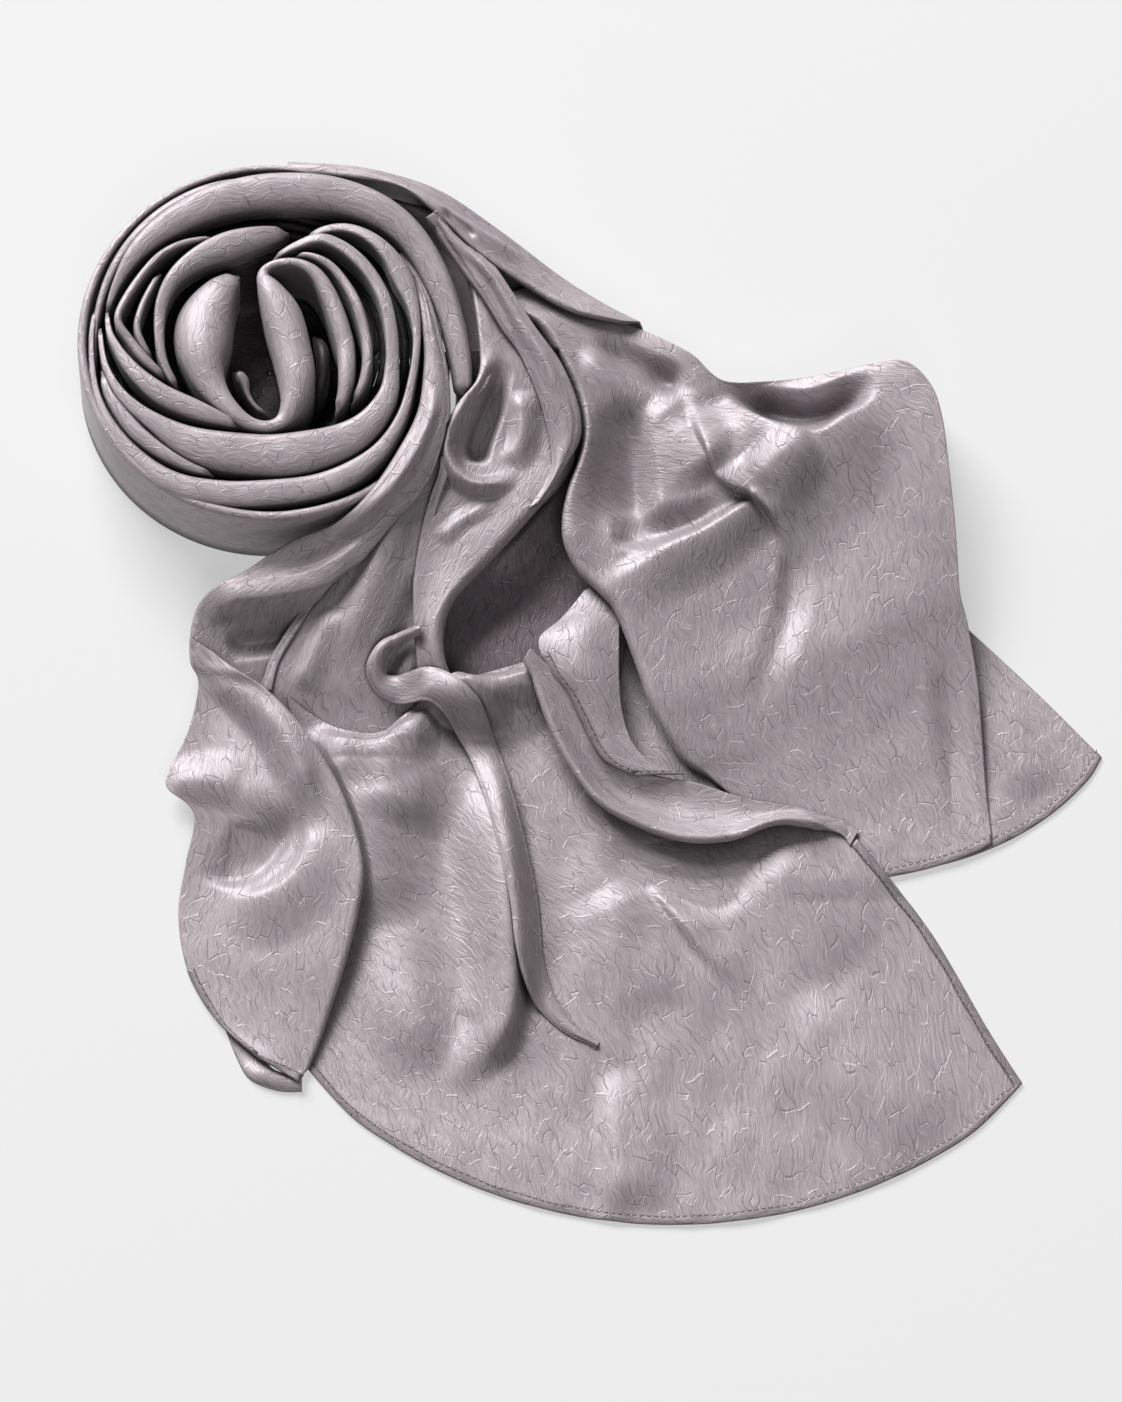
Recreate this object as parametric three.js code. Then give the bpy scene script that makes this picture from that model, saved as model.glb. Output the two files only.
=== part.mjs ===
// A rectangular satin hijab scarf, lying loosely rolled at one end and fanned out at the other.
// Units are millimetres, +Z is up, and the surface it lies on is z = 0.
import * as THREE from 'three';

// Driving dimensions.
const clothWall = 2.2;          // drawn thickness of one layer of cloth
const seamGap = 0.3;            // clear space between two layers that touch
const partGap = 0.7;            // clear space where a long stretch is cut into parts
const hemWidth = 5;             // narrow turned hem
const hemWall = 0.8;
const hemGap = 0.95;            // clear space between a hem and its panel
const coilCentre = [-176, 195]; // middle of the standing roll
const coilRadius = 104;
const coilFillHeight = 42;      // hidden layers inside the roll
const turnWall = 2.2;
const mapCell = 4;              // grid of the map that says how high the cloth lies so far
const mapHalfSize = 360;
const clearShare = 0.8;         // a layer clears what lies within this share of its grid spacing
const settledGap = 0.85;         // widest gap left under the place where a layer comes nearest

// Turns of the roll, outermost first. Angles run anticlockwise from +X, in degrees.
// inner, outer and top are given at the start, the middle and the end of a turn.
// A long turn is cut into parts, each until a share of its length.
const turnRows = [
  { name: 'coil_rim_1', from: 152, to: 335, inner: [95.6, 95, 95], outer: [99.6, 99.6, 99.6], top: [58, 63, 58] },
  { name: 'coil_rim_2', from: 168, to: 325, inner: [90, 89, 90], outer: [94.3, 94.3, 94.3], top: [58, 66, 60] },
  { name: 'coil_rim_3', from: 192, to: 312, inner: [84.5, 84, 84.5], outer: [88.4, 88.4, 88.4], top: [60, 67, 60] },
  {
    name: 'coil_back_band', from: 165, to: -20, inner: [84, 79, 92], outer: [88, 102, 108], top: [58, 66, 56],
    parts: [{ name: 'coil_back_band', until: 0.5 }, { name: 'coil_right_band', until: 1 }],
  },
  { name: 'coil_front_band', from: 168, to: 330, inner: [66, 56, 68], outer: [82, 83, 82], top: [60, 66, 58] },
  { name: 'coil_left_pleat', from: 102, to: 165, inner: [69, 72, 74], outer: [75, 77, 79], top: [60, 66, 64] },
  { name: 'coil_left_layer', from: 112, to: 164, inner: [62, 62, 62], outer: [68, 69, 69], top: [60, 64, 62] },
  { name: 'coil_loop_4', from: 98, to: -24, inner: [70, 74, 80], outer: [74, 80, 85], top: [60, 66, 56] },
  { name: 'coil_loop_3', from: 90, to: -26, inner: [60, 65, 68], outer: [64, 71, 73], top: [60, 66, 58] },
  { name: 'coil_loop_2', from: 70, to: -42, inner: [52, 55, 56], outer: [55, 60, 60], top: [60, 66, 58] },
  { name: 'coil_loop_1', from: 58, to: -60, inner: [40, 44, 44], outer: [43, 50, 49], top: [58, 66, 56] },
  { name: 'coil_core_loop', from: 108, to: 276, inner: [38, 27, 32], outer: [48, 57, 45], top: [60, 68, 56] },
];
const wallRows = [
  { name: 'coil_outer_wall', from: 106, to: 322, height: 60 },
  { name: 'coil_back_wall', from: 68, to: 105, height: 41 },
];
const coreFold = { centre: [-161, 199], radii: [15, 28], from: -60, to: 250, wall: 6, top: [62, 68, 58] };

// Stretches of cloth, lowest first. A section is a line across the cloth from its left edge to its
// right edge, seen along the cloth as it leaves the roll. bow pushes the middle of a section along
// the cloth, and puff is the height of the soft arch across it.
// press is how much further a stretch sags onto the layers below than its grid alone would let it.
// A wide stretch is cut across into parts, each until a share of its length.
// A hem runs across the end of a stretch, and along its left or right edge from a share of its
// length where one is given.
// A fold follows a path seen from above. rise is its height, left and right are its reach on the
// two sides of the path. A fold with a negative rise is a trough.
const stretchRows = [
  {
    name: 'right_corner', along: 6, across: 8,
    hem: { name: 'hem_corner', left: 0.2, right: null },
    sections: [
      { left: [208, 52], right: [160, 45], bow: 0, puff: 0 },
      { left: [248, 8], right: [158, 5], bow: 4, puff: 0 },
      { left: [282, -28], right: [160, -90], bow: 14, puff: 0 },
    ],
    folds: [],
  },
  {
    name: 'right_sweep', along: 26, across: 14,
    parts: [
      { name: 'back_sweep', until: 0.31 },
      { name: 'right_sweep', until: 0.58 },
      { name: 'right_flap', until: 0.81 },
      { name: 'right_front', until: 1 },
    ],
    hem: { name: 'hem_right', left: null, right: null },
    sections: [
      { left: [-103, 303], right: [-118, 285], bow: 0, puff: 2 },
      { left: [-70, 293], right: [-91, 266], bow: 0, puff: 3 },
      { left: [-43, 276], right: [-72, 236], bow: 0, puff: 4 },
      { left: [-15, 255], right: [-46, 212], bow: 0, puff: 4 },
      { left: [7, 235], right: [-26, 190], bow: 0, puff: 4 },
      { left: [35, 208], right: [-8, 165], bow: 4, puff: 4 },
      { left: [62, 195], right: [-9, 140], bow: 6, puff: 5 },
      { left: [97, 186], right: [-12, 105], bow: 8, puff: 6 },
      { left: [139, 185], right: [0, 72], bow: 10, puff: 6 },
      { left: [176, 187], right: [18, 42], bow: 12, puff: 6 },
      { left: [191, 168], right: [30, 18], bow: 12, puff: 6 },
      { left: [198, 127], right: [38, -10], bow: 10, puff: 6 },
      { left: [202, 80], right: [51, -37], bow: 8, puff: 5 },
      { left: [211, 27], right: [70, -50], bow: 6, puff: 4 },
      { left: [217, -26], right: [92, -72], bow: 5, puff: 2 },
      { left: [224, -77], right: [112, -100], bow: 5, puff: 0 },
    ],
    folds: [
      { path: [[95, 183], [139, 180], [172, 181], [188, 164], [194, 124], [199, 78], [207, 20]], rise: 36, left: 14, right: 60 },
      { path: [[86, 166], [106, 153], [125, 149], [144, 163], [161, 176]], rise: 14, left: 12, right: 14 },
      { path: [[56, 196], [67, 156], [84, 122], [106, 98], [115, 70]], rise: 12, left: 34, right: 10 },
      { path: [[86, 116], [62, 102], [40, 87], [14, 72]], rise: 12, left: 24, right: 22 },
      { path: [[200, 55], [117, 6], [56, -29]], rise: 14, left: 34, right: 34 },
      { path: [[-2, 140], [-4, 105], [9, 74], [27, 42], [39, 12], [48, -14], [66, -36]], rise: 14, left: 26, right: 10 },
    ],
  },
  {
    name: 'centre_flap', along: 28, across: 18,
    parts: [
      { name: 'centre_root', until: 0.32 },
      { name: 'centre_flap', until: 0.68 },
      { name: 'centre_front', until: 1 },
    ],
    hem: { name: 'hem_centre', left: 0.68, right: null },
    sections: [
      { left: [-86, 116], right: [-98, 116], bow: 0, puff: 2 },
      { left: [-84, 82], right: [-124, 80], bow: 0, puff: 4 },
      { left: [-48, 52], right: [-150, 44], bow: 0, puff: 5 },
      { left: [-30, 24], right: [-166, 4], bow: 0, puff: 5 },
      { left: [-22, 0], right: [-158, -24], bow: 4, puff: 5 },
      { left: [-3, -45], right: [-138, -56], bow: 8, puff: 5 },
      { left: [22, -76], right: [-130, -82], bow: 12, puff: 4 },
      { left: [58, -86], right: [-130, -104], bow: 18, puff: 4 },
      { left: [103, -80], right: [-133, -126], bow: 28, puff: 3 },
      { left: [137, -77], right: [-137, -145], bow: 38, puff: 3 },
      { left: [161, -95], right: [-141, -161], bow: 50, puff: 2 },
      { left: [188, -132], right: [-146, -178], bow: 62, puff: 1 },
      { left: [218, -187], right: [-150, -194], bow: 75, puff: 0.5 },
      { left: [236, -217], right: [-153, -208], bow: 85, puff: 0 },
    ],
    folds: [
      { path: [[-103, 88], [-131, 36], [-142, 6]], rise: 10, left: 26, right: 20 },
      { path: [[-156, -8], [-130, -52], [-114, -96], [-112, -150]], rise: 18, left: 40, right: 14 },
      { path: [[-84, -214], [-52, -198], [-38, -176]], rise: 8, left: 14, right: 16 },
      { path: [[15, -215], [15, -288]], rise: 6, left: 14, right: 14 },
      { path: [[4, -105], [36, -180]], rise: 7, left: 36, right: 30 },
      { path: [[51, -122], [97, -165]], rise: -4, left: 8, right: 8 },
    ],
  },
  {
    name: 'curled_selvage', along: 18, across: 4,
    hem: null,
    sections: [
      { left: [-24, 26], right: [-33, 24], bow: 0, puff: 4 },
      { left: [-12, 2], right: [-24, -3], bow: 0, puff: 6 },
      { left: [8, -36], right: [-4, -46], bow: 0, puff: 8 },
      { left: [36, -52], right: [22, -76], bow: 0, puff: 10 },
      { left: [64, -52], right: [54, -86], bow: 0, puff: 10 },
      { left: [88, -60], right: [84, -83], bow: 0, puff: 9 },
      { left: [117, -63], right: [110, -77], bow: 0, puff: 6 },
      { left: [138, -72], right: [136, -79], bow: 0, puff: 2 },
    ],
    folds: [],
  },
  {
    name: 'left_curl', along: 10, across: 3,
    hem: null,
    sections: [
      { left: [-190, -172], right: [-204, -170], bow: 0, puff: 0 },
      { left: [-184, -186], right: [-198, -186], bow: 0, puff: 0 },
      { left: [-177, -200], right: [-191, -204], bow: 0, puff: 1 },
      { left: [-172, -208], right: [-184, -215], bow: 0, puff: 4 },
      { left: [-164, -211], right: [-170, -221], bow: 0, puff: 4 },
      { left: [-156, -212], right: [-156, -222], bow: 0, puff: 3 },
    ],
    folds: [],
  },
  {
    name: 'left_flap', along: 20, across: 7, press: 0.3,
    parts: [{ name: 'left_root', until: 0.4 }, { name: 'left_flap', until: 1 }],
    hem: { name: 'hem_left', left: null, right: 0.8 },
    sections: [
      { left: [-128, 22], right: [-205, 30], bow: 0, puff: 0 },
      { left: [-138, -10], right: [-215, 7], bow: 0, puff: 2 },
      { left: [-140, -36], right: [-223, -22], bow: 0, puff: 4 },
      { left: [-135, -56], right: [-231, -45], bow: 0, puff: 5 },
      { left: [-129, -71], right: [-220, -60], bow: 0, puff: 5 },
      { left: [-124, -92], right: [-220, -92], bow: 0, puff: 5 },
      { left: [-124, -115], right: [-224, -120], bow: 0, puff: 5 },
      { left: [-130, -142], right: [-221, -145], bow: 0, puff: 3 },
      { left: [-136, -169], right: [-211, -168], bow: 0, puff: 2 },
      { left: [-145, -195], right: [-197, -185], bow: 0, puff: 1 },
      { left: [-154, -216], right: [-179, -199], bow: 0, puff: 0 },
    ],
    folds: [
      { path: [[-213, 20], [-191, -9], [-158, -52]], rise: 14, left: 16, right: 16 },
      { path: [[-158, -50], [-153, -80], [-179, -108], [-205, -103]], rise: 10, left: 12, right: 12 },
      { path: [[-229, -44], [-196, -47]], rise: 8, left: 12, right: 12 },
      { path: [[-172, -112], [-166, -150], [-166, -178]], rise: 8, left: 26, right: 26 },
    ],
  },
  {
    name: 'narrow_fold', along: 22, across: 4,
    hem: null,
    sections: [
      { left: [-116, 29], right: [-121, 20], bow: 0, puff: 4 },
      { left: [-103, 12], right: [-113, 2], bow: 0, puff: 7 },
      { left: [-72, 6], right: [-87, -8], bow: 0, puff: 8 },
      { left: [-53, -18], right: [-67, -27], bow: 0, puff: 9 },
      { left: [-38, -54], right: [-54, -59], bow: 0, puff: 10 },
      { left: [-28, -100], right: [-46, -100], bow: 0, puff: 10 },
      { left: [-22, -145], right: [-41, -147], bow: 0, puff: 9 },
      { left: [-12, -170], right: [-26, -178], bow: 0, puff: 7 },
      { left: [10, -187], right: [6, -196], bow: 0, puff: 2 },
    ],
    folds: [],
  },
  {
    name: 'outer_sweep', along: 12, across: 6,
    hem: null,
    sections: [
      { left: [7, 213], right: [-26, 218], bow: 0, puff: 3 },
      { left: [14, 172], right: [-20, 172], bow: 0, puff: 4 },
      { left: [4, 136], right: [-26, 138], bow: 0, puff: 4 },
      { left: [0, 98], right: [-46, 104], bow: 0, puff: 3 },
      { left: [6, 64], right: [-66, 72], bow: 0, puff: 2 },
      { left: [-14, 46], right: [-78, 42], bow: 0, puff: 2 },
      { left: [-30, 28], right: [-72, 14], bow: 0, puff: 2 },
    ],
    folds: [],
  },
  {
    name: 'small_flap', along: 12, across: 6,
    hem: { name: 'hem_small', left: null, right: 0.35 },
    sections: [
      { left: [7, 60], right: [-8, 64], bow: 0, puff: 2 },
      { left: [15, 50], right: [-24, 50], bow: 0, puff: 5 },
      { left: [23, 37], right: [-35, 33], bow: 0, puff: 7 },
      { left: [22, 18], right: [-26, 18], bow: 0, puff: 6 },
      { left: [24, -2], right: [-14, 2], bow: 0, puff: 4 },
      { left: [31, -22], right: [-3, -17], bow: 2, puff: 3 },
      { left: [52, -40], right: [10, -38], bow: 6, puff: 0 },
    ],
    folds: [],
  },
  {
    name: 'second_band', along: 12, across: 5, press: 1.3,
    hem: null,
    sections: [
      { left: [-84, 126], right: [-90, 127], bow: 0, puff: 1 },
      { left: [-88, 110], right: [-102, 112], bow: 0, puff: 2 },
      { left: [-92, 88], right: [-120, 89], bow: 0, puff: 4 },
      { left: [-93, 60], right: [-137, 61], bow: 0, puff: 5 },
      { left: [-92, 37], right: [-152, 34], bow: 0, puff: 5 },
      { left: [-93, 16], right: [-162, 11], bow: 0, puff: 4 },
      { left: [-101, -3], right: [-160, -2], bow: 0, puff: 2 },
    ],
    folds: [],
  },
  {
    name: 'cup_fold', along: 18, across: 8,
    hem: null,
    sections: [
      { left: [-66, 240], right: [-76, 242], bow: 0, puff: 2 },
      { left: [-49, 206], right: [-66, 217], bow: 0, puff: 2 },
      { left: [-30, 174], right: [-66, 189], bow: 0, puff: 3 },
      { left: [-22, 146], right: [-70, 162], bow: 0, puff: 4 },
      { left: [-24, 124], right: [-83, 133], bow: 0, puff: 4 },
      { left: [-46, 94], right: [-91, 99], bow: 0, puff: 4 },
      { left: [-72, 66], right: [-96, 66], bow: 0, puff: 3 },
      { left: [-80, 36], right: [-96, 33], bow: 0, puff: 2 },
    ],
    folds: [
      { path: [[-76, 152], [-78, 134], [-68, 117], [-54, 116], [-46, 131], [-43, 160]], rise: 10, left: 10, right: 9 },
    ],
  },
  {
    name: 'top_fold', along: 34, across: 5,
    hem: null,
    sections: [
      { left: [-97, 293], right: [-99, 277], bow: 0, puff: 6 },
      { left: [-76, 275], right: [-83, 257], bow: 0, puff: 8 },
      { left: [-57, 255], right: [-72, 238], bow: 0, puff: 10 },
      { left: [-37, 236], right: [-59, 219], bow: 0, puff: 10 },
      { left: [-20, 218], right: [-46, 198], bow: 0, puff: 10 },
      { left: [-6, 192], right: [-33, 174], bow: 0, puff: 10 },
      { left: [1, 162], right: [-25, 152], bow: 0, puff: 10 },
      { left: [-3, 140], right: [-24, 132], bow: 0, puff: 10 },
      { left: [-16, 118], right: [-32, 108], bow: 0, puff: 10 },
      { left: [-44, 90], right: [-60, 80], bow: 0, puff: 10 },
      { left: [-72, 58], right: [-88, 52], bow: 0, puff: 10 },
      { left: [-80, 32], right: [-96, 30], bow: 0, puff: 9 },
      { left: [-70, 12], right: [-84, 6], bow: 0, puff: 8 },
      { left: [-46, 6], right: [-58, -6], bow: 0, puff: 5 },
    ],
    folds: [],
  },
  {
    name: 'left_band', along: 18, across: 7, press: 0.7,
    hem: null,
    sections: [
      { left: [-64, 152], right: [-71, 144], bow: 0, puff: 0 },
      { left: [-80, 116], right: [-98, 110], bow: 0, puff: 4 },
      { left: [-104, 90], right: [-134, 86], bow: 0, puff: 8 },
      { left: [-124, 72], right: [-176, 76], bow: 0, puff: 9 },
      { left: [-144, 58], right: [-205, 60], bow: 0, puff: 9 },
      { left: [-155, 32], right: [-219, 35], bow: 0, puff: 9 },
      { left: [-165, 2], right: [-215, 12], bow: 0, puff: 7 },
    ],
    folds: [
      { path: [[-130, 92], [-180, 70], [-206, 46], [-208, 22]], rise: 6, left: 22, right: 12 },
    ],
  },
];

// A place beside the roll's hidden layers, at an angle in degrees from +X.
function besideCoil(angle) {
  const turn = THREE.MathUtils.degToRad(angle);
  const radius = coilRadius - 2.5;
  return [coilCentre[0] + radius * Math.cos(turn), coilCentre[1] + radius * Math.sin(turn)];
}

// Hidden layers under the swept cloth: one rounded heap, from the roll's back to the fanned end.
const heapSections = [
  { left: [-98, 296], right: besideCoil(62), height: 36 },
  { left: [-64, 283], right: besideCoil(45), height: 38 },
  { left: [-34, 257], right: besideCoil(26), height: 36 },
  { left: [-8, 222], right: besideCoil(8), height: 32 },
  { left: [2, 172], right: besideCoil(-14), height: 30 },
  { left: [-8, 120], right: [-80, 124], height: 25 },
  { left: [-30, 82], right: [-120, 82], height: 17 },
  { left: [-44, 50], right: [-190, 50], height: 11 },
  { left: [-60, 24], right: [-190, 22], height: 8 },
];

const satin = new THREE.MeshStandardMaterial({ color: '#9a9296', roughness: 0.35, metalness: 0.05 });
const satinShade = new THREE.MeshStandardMaterial({ color: '#878083', roughness: 0.4, metalness: 0.05 });
const hemSatin = new THREE.MeshStandardMaterial({ color: '#8a8286', roughness: 0.5, metalness: 0.05 });

const scarf = new THREE.Group();

function addMesh(name, geometry, material) {
  const mesh = new THREE.Mesh(geometry, material);
  mesh.name = name;
  scarf.add(mesh);
  return mesh;
}

// Blends three values given at 0, 0.5 and 1.
function blendThree([start, middle, end], t) {
  const a = 2 * (start + end - 2 * middle);
  const b = 4 * middle - 3 * start - end;
  return a * t * t + b * t + start;
}

function smoothStep(t) {
  const s = Math.min(Math.max(t, 0), 1);
  return s * s * (3 - 2 * s);
}

// A closed body from rings of points: each ring is joined to the next, and the two ends are capped
// by fans round the ring's middle.
function loftRings(rings) {
  const count = rings[0].length;
  const positions = rings.flat(2);
  const faces = [];
  for (let i = 0; i + 1 < rings.length; i += 1) {
    for (let j = 0; j < count; j += 1) {
      const a = i * count + j;
      const b = i * count + ((j + 1) % count);
      faces.push(a, b, a + count, b, b + count, a + count);
    }
  }
  for (const [ringIndex, flip] of [[0, true], [rings.length - 1, false]]) {
    const ring = rings[ringIndex];
    const contour = capFaces(ring);
    for (const [p, q, r] of contour) {
      const base = ringIndex * count;
      faces.push(base + p, base + (flip ? r : q), base + (flip ? q : r));
    }
  }
  return closedGeometry(positions, faces);
}

// Triangles that close a ring, found in the plane where the ring is widest.
function capFaces(ring) {
  const first = new THREE.Vector3(...ring[0]);
  const normal = new THREE.Vector3();
  for (let i = 0; i < ring.length; i += 1) {
    const p = new THREE.Vector3(...ring[i]).sub(first);
    const q = new THREE.Vector3(...ring[(i + 1) % ring.length]).sub(first);
    normal.add(p.cross(q));
  }
  normal.normalize();
  const side = new THREE.Vector3(0, 0, 1).cross(normal).normalize();
  const up = normal.clone().cross(side);
  const flat = ring.map((point) => {
    const v = new THREE.Vector3(...point);
    return new THREE.Vector2(v.dot(side), v.dot(up));
  });
  return THREE.ShapeUtils.triangulateShape(flat, []);
}

function closedGeometry(positions, faces) {
  const geometry = new THREE.BufferGeometry();
  geometry.setAttribute('position', new THREE.Float32BufferAttribute(positions, 3));
  let volume = 0;
  const point = (k) => new THREE.Vector3(...positions.slice(3 * k, 3 * k + 3));
  for (let i = 0; i < faces.length; i += 3) {
    volume += point(faces[i]).dot(point(faces[i + 1]).cross(point(faces[i + 2])));
  }
  if (volume < 0) {
    faces.reverse();
  }
  geometry.setIndex(faces);
  geometry.computeVertexNormals();
  return geometry;
}

// A copy of a line of points, moved towards the next line by half the gap between two parts.
function trimmedLine(line, next) {
  return line.map((point, j) => {
    const from = new THREE.Vector3(...point);
    const to = new THREE.Vector3(...next[j]);
    return from.lerp(to, partGap / 2 / from.distanceTo(to)).toArray();
  });
}

// Cuts a row's lines of points into its named parts, with a gap where one part follows another.
function cutParts(row, lines) {
  if (!row.parts) {
    return [{ name: row.name, lines }];
  }
  const last = lines.length - 1;
  let first = 0;
  return row.parts.map(({ name, until }) => {
    const end = Math.round(until * last);
    const own = lines.slice(first, end + 1);
    if (first > 0) own[0] = trimmedLine(own[0], own[1]);
    if (end < last) own[own.length - 1] = trimmedLine(own[own.length - 1], own[own.length - 2]);
    first = end;
    return { name, lines: own };
  });
}

// The rolled end.

// A turn's section, as [radius, height] points: a narrow turn is a rounded bar of pressed layers,
// and a wide one is a wall folded over like an upturned U.
function turnSection(inner, outer, top) {
  const width = outer - inner;
  const middle = (inner + outer) / 2;
  const crown = Math.min(width / 2, 9);
  const base = coilFillHeight + seamGap;
  const arch = (half, crownHeight, peak, steps) => {
    const points = [];
    for (let i = 0; i <= steps; i += 1) {
      const angle = (Math.PI * i) / steps;
      points.push([middle + half * Math.cos(angle), peak - crownHeight + crownHeight * Math.sin(angle)]);
    }
    return points;
  };
  const outside = [[outer, base], ...arch(width / 2, crown, top, 6), [inner, base]];
  if (width < 3.5 * turnWall) {
    return outside;
  }
  const inside = arch(width / 2 - turnWall, crown - turnWall / 2, top - turnWall, 4).reverse();
  return [...outside, [inner + turnWall, base], ...inside, [outer - turnWall, base]];
}

function turnRings(row) {
  const steps = Math.max(8, Math.ceil(Math.abs(row.to - row.from) / 13));
  const rings = [];
  const wide = blendThree(row.outer, 0.5) - blendThree(row.inner, 0.5) >= 3.5 * turnWall;
  for (let i = 0; i <= steps; i += 1) {
    const t = i / steps;
    const angle = THREE.MathUtils.degToRad(row.from + (row.to - row.from) * t);
    const outer = blendThree(row.outer, t);
    let inner = blendThree(row.inner, t);
    if (wide) {
      inner = Math.min(inner, outer - 3.6 * turnWall);
    }
    rings.push(
      turnSection(inner, outer, blendThree(row.top, t)).map(([radius, height]) => [
        coilCentre[0] + radius * Math.cos(angle),
        coilCentre[1] + radius * Math.sin(angle),
        height,
      ]),
    );
  }
  return rings;
}

function coreFoldGeometry() {
  const steps = 22;
  const rings = [];
  for (let i = 0; i <= steps; i += 1) {
    const t = i / steps;
    const angle = THREE.MathUtils.degToRad(coreFold.from + (coreFold.to - coreFold.from) * t);
    const section = turnSection(-coreFold.wall / 2, coreFold.wall / 2, blendThree(coreFold.top, t));
    rings.push(
      section.map(([offset, height]) => [
        coreFold.centre[0] + (coreFold.radii[0] + offset) * Math.cos(angle),
        coreFold.centre[1] + (coreFold.radii[1] + offset) * Math.sin(angle),
        height,
      ]),
    );
  }
  return loftRings(rings);
}

// One standing layer of the roll's outside, from the surface to its top edge.
function standingWallGeometry({ from, to, height }) {
  const steps = Math.ceil((to - from) / 9);
  const rings = [];
  for (let i = 0; i <= steps; i += 1) {
    const angle = THREE.MathUtils.degToRad(from + ((to - from) * i) / steps);
    const section = [
      [coilRadius - 3.6, 0],
      [coilRadius - 0.6, 0],
      [coilRadius + 0.6, height * 0.5],
      [coilRadius, height - 2],
      [coilRadius - 1.2, height],
      [coilRadius - 3.2, height - 1],
      [coilRadius - 3.6, height * 0.5],
    ];
    rings.push(
      section.map(([radius, height]) => [
        coilCentre[0] + radius * Math.cos(angle),
        coilCentre[1] + radius * Math.sin(angle),
        height,
      ]),
    );
  }
  return loftRings(rings);
}

// Hidden layers inside the roll: one rounded solid with a hollow in its middle.
function coilFillGeometry() {
  const outer = coilRadius - 4.2;
  const profile = [
    [0, 0],
    [outer - 3, 0],
    [outer, 4],
    [outer, coilFillHeight - 8],
    [outer - 3, coilFillHeight - 2],
    [outer - 9, coilFillHeight],
    [34, coilFillHeight],
    [30, coilFillHeight - 6],
    [20, coilFillHeight - 26],
    [0, coilFillHeight - 30],
  ].map(([radius, height]) => new THREE.Vector2(radius, height));
  const geometry = new THREE.LatheGeometry(profile, 40);
  geometry.rotateX(Math.PI / 2);
  geometry.translate(coilCentre[0], coilCentre[1], 0);
  return geometry;
}

// The map of how high the cloth lies so far.

const mapSize = Math.ceil((2 * mapHalfSize) / mapCell);
const laidMap = new Float32Array(mapSize * mapSize);

function mapIndex(value) {
  return Math.min(Math.max(Math.floor((value + mapHalfSize) / mapCell), 0), mapSize - 1);
}

function markLaid(x, y, height) {
  const index = mapIndex(y) * mapSize + mapIndex(x);
  laidMap[index] = Math.max(laidMap[index], height);
}

function laidHeight(x, y, radius) {
  const reach = Math.ceil(radius / mapCell);
  const column = mapIndex(x);
  const row = mapIndex(y);
  let height = 0;
  for (let i = -reach; i <= reach; i += 1) {
    for (let j = -reach; j <= reach; j += 1) {
      const r = Math.min(Math.max(row + i, 0), mapSize - 1);
      const c = Math.min(Math.max(column + j, 0), mapSize - 1);
      height = Math.max(height, laidMap[r * mapSize + c]);
    }
  }
  return height;
}

// Marks every patch of a grid of points on the map.
function markGrid(grid) {
  const fine = 6;
  for (let i = 0; i + 1 < grid.length; i += 1) {
    for (let j = 0; j + 1 < grid[i].length; j += 1) {
      for (let p = 0; p <= fine; p += 1) {
        for (let q = 0; q <= fine; q += 1) {
          const s = p / fine;
          const t = q / fine;
          const blend = (k) =>
            (1 - s) * ((1 - t) * grid[i][j][k] + t * grid[i][j + 1][k]) +
            s * ((1 - t) * grid[i + 1][j][k] + t * grid[i + 1][j + 1][k]);
          markLaid(blend(0), blend(1), blend(2));
        }
      }
    }
  }
}

// The swept and fanned stretches.

function curveThrough(points) {
  return new THREE.SplineCurve(points.map(([x, y]) => new THREE.Vector2(x, y)));
}

// Height that a fold adds at one place: full on its path, nothing past its reach.
function foldHeight(fold, x, y) {
  let best = { distance: Infinity };
  for (let i = 0; i + 1 < fold.line.length; i += 1) {
    const a = fold.line[i];
    const b = fold.line[i + 1];
    const dx = b.x - a.x;
    const dy = b.y - a.y;
    const t = Math.min(Math.max(((x - a.x) * dx + (y - a.y) * dy) / (dx * dx + dy * dy), 0), 1);
    const distance = Math.hypot(x - a.x - t * dx, y - a.y - t * dy);
    if (distance < best.distance) {
      const onLeft = dx * (y - a.y) - dy * (x - a.x) > 0;
      best = { distance, onLeft, along: (i + t) / (fold.line.length - 1) };
    }
  }
  const reach = best.onLeft ? fold.left : fold.right;
  const ends = smoothStep(best.along / 0.25) * smoothStep((1 - best.along) / 0.25);
  return fold.rise * smoothStep(1 - best.distance / reach) * (0.35 + 0.65 * ends);
}

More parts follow.
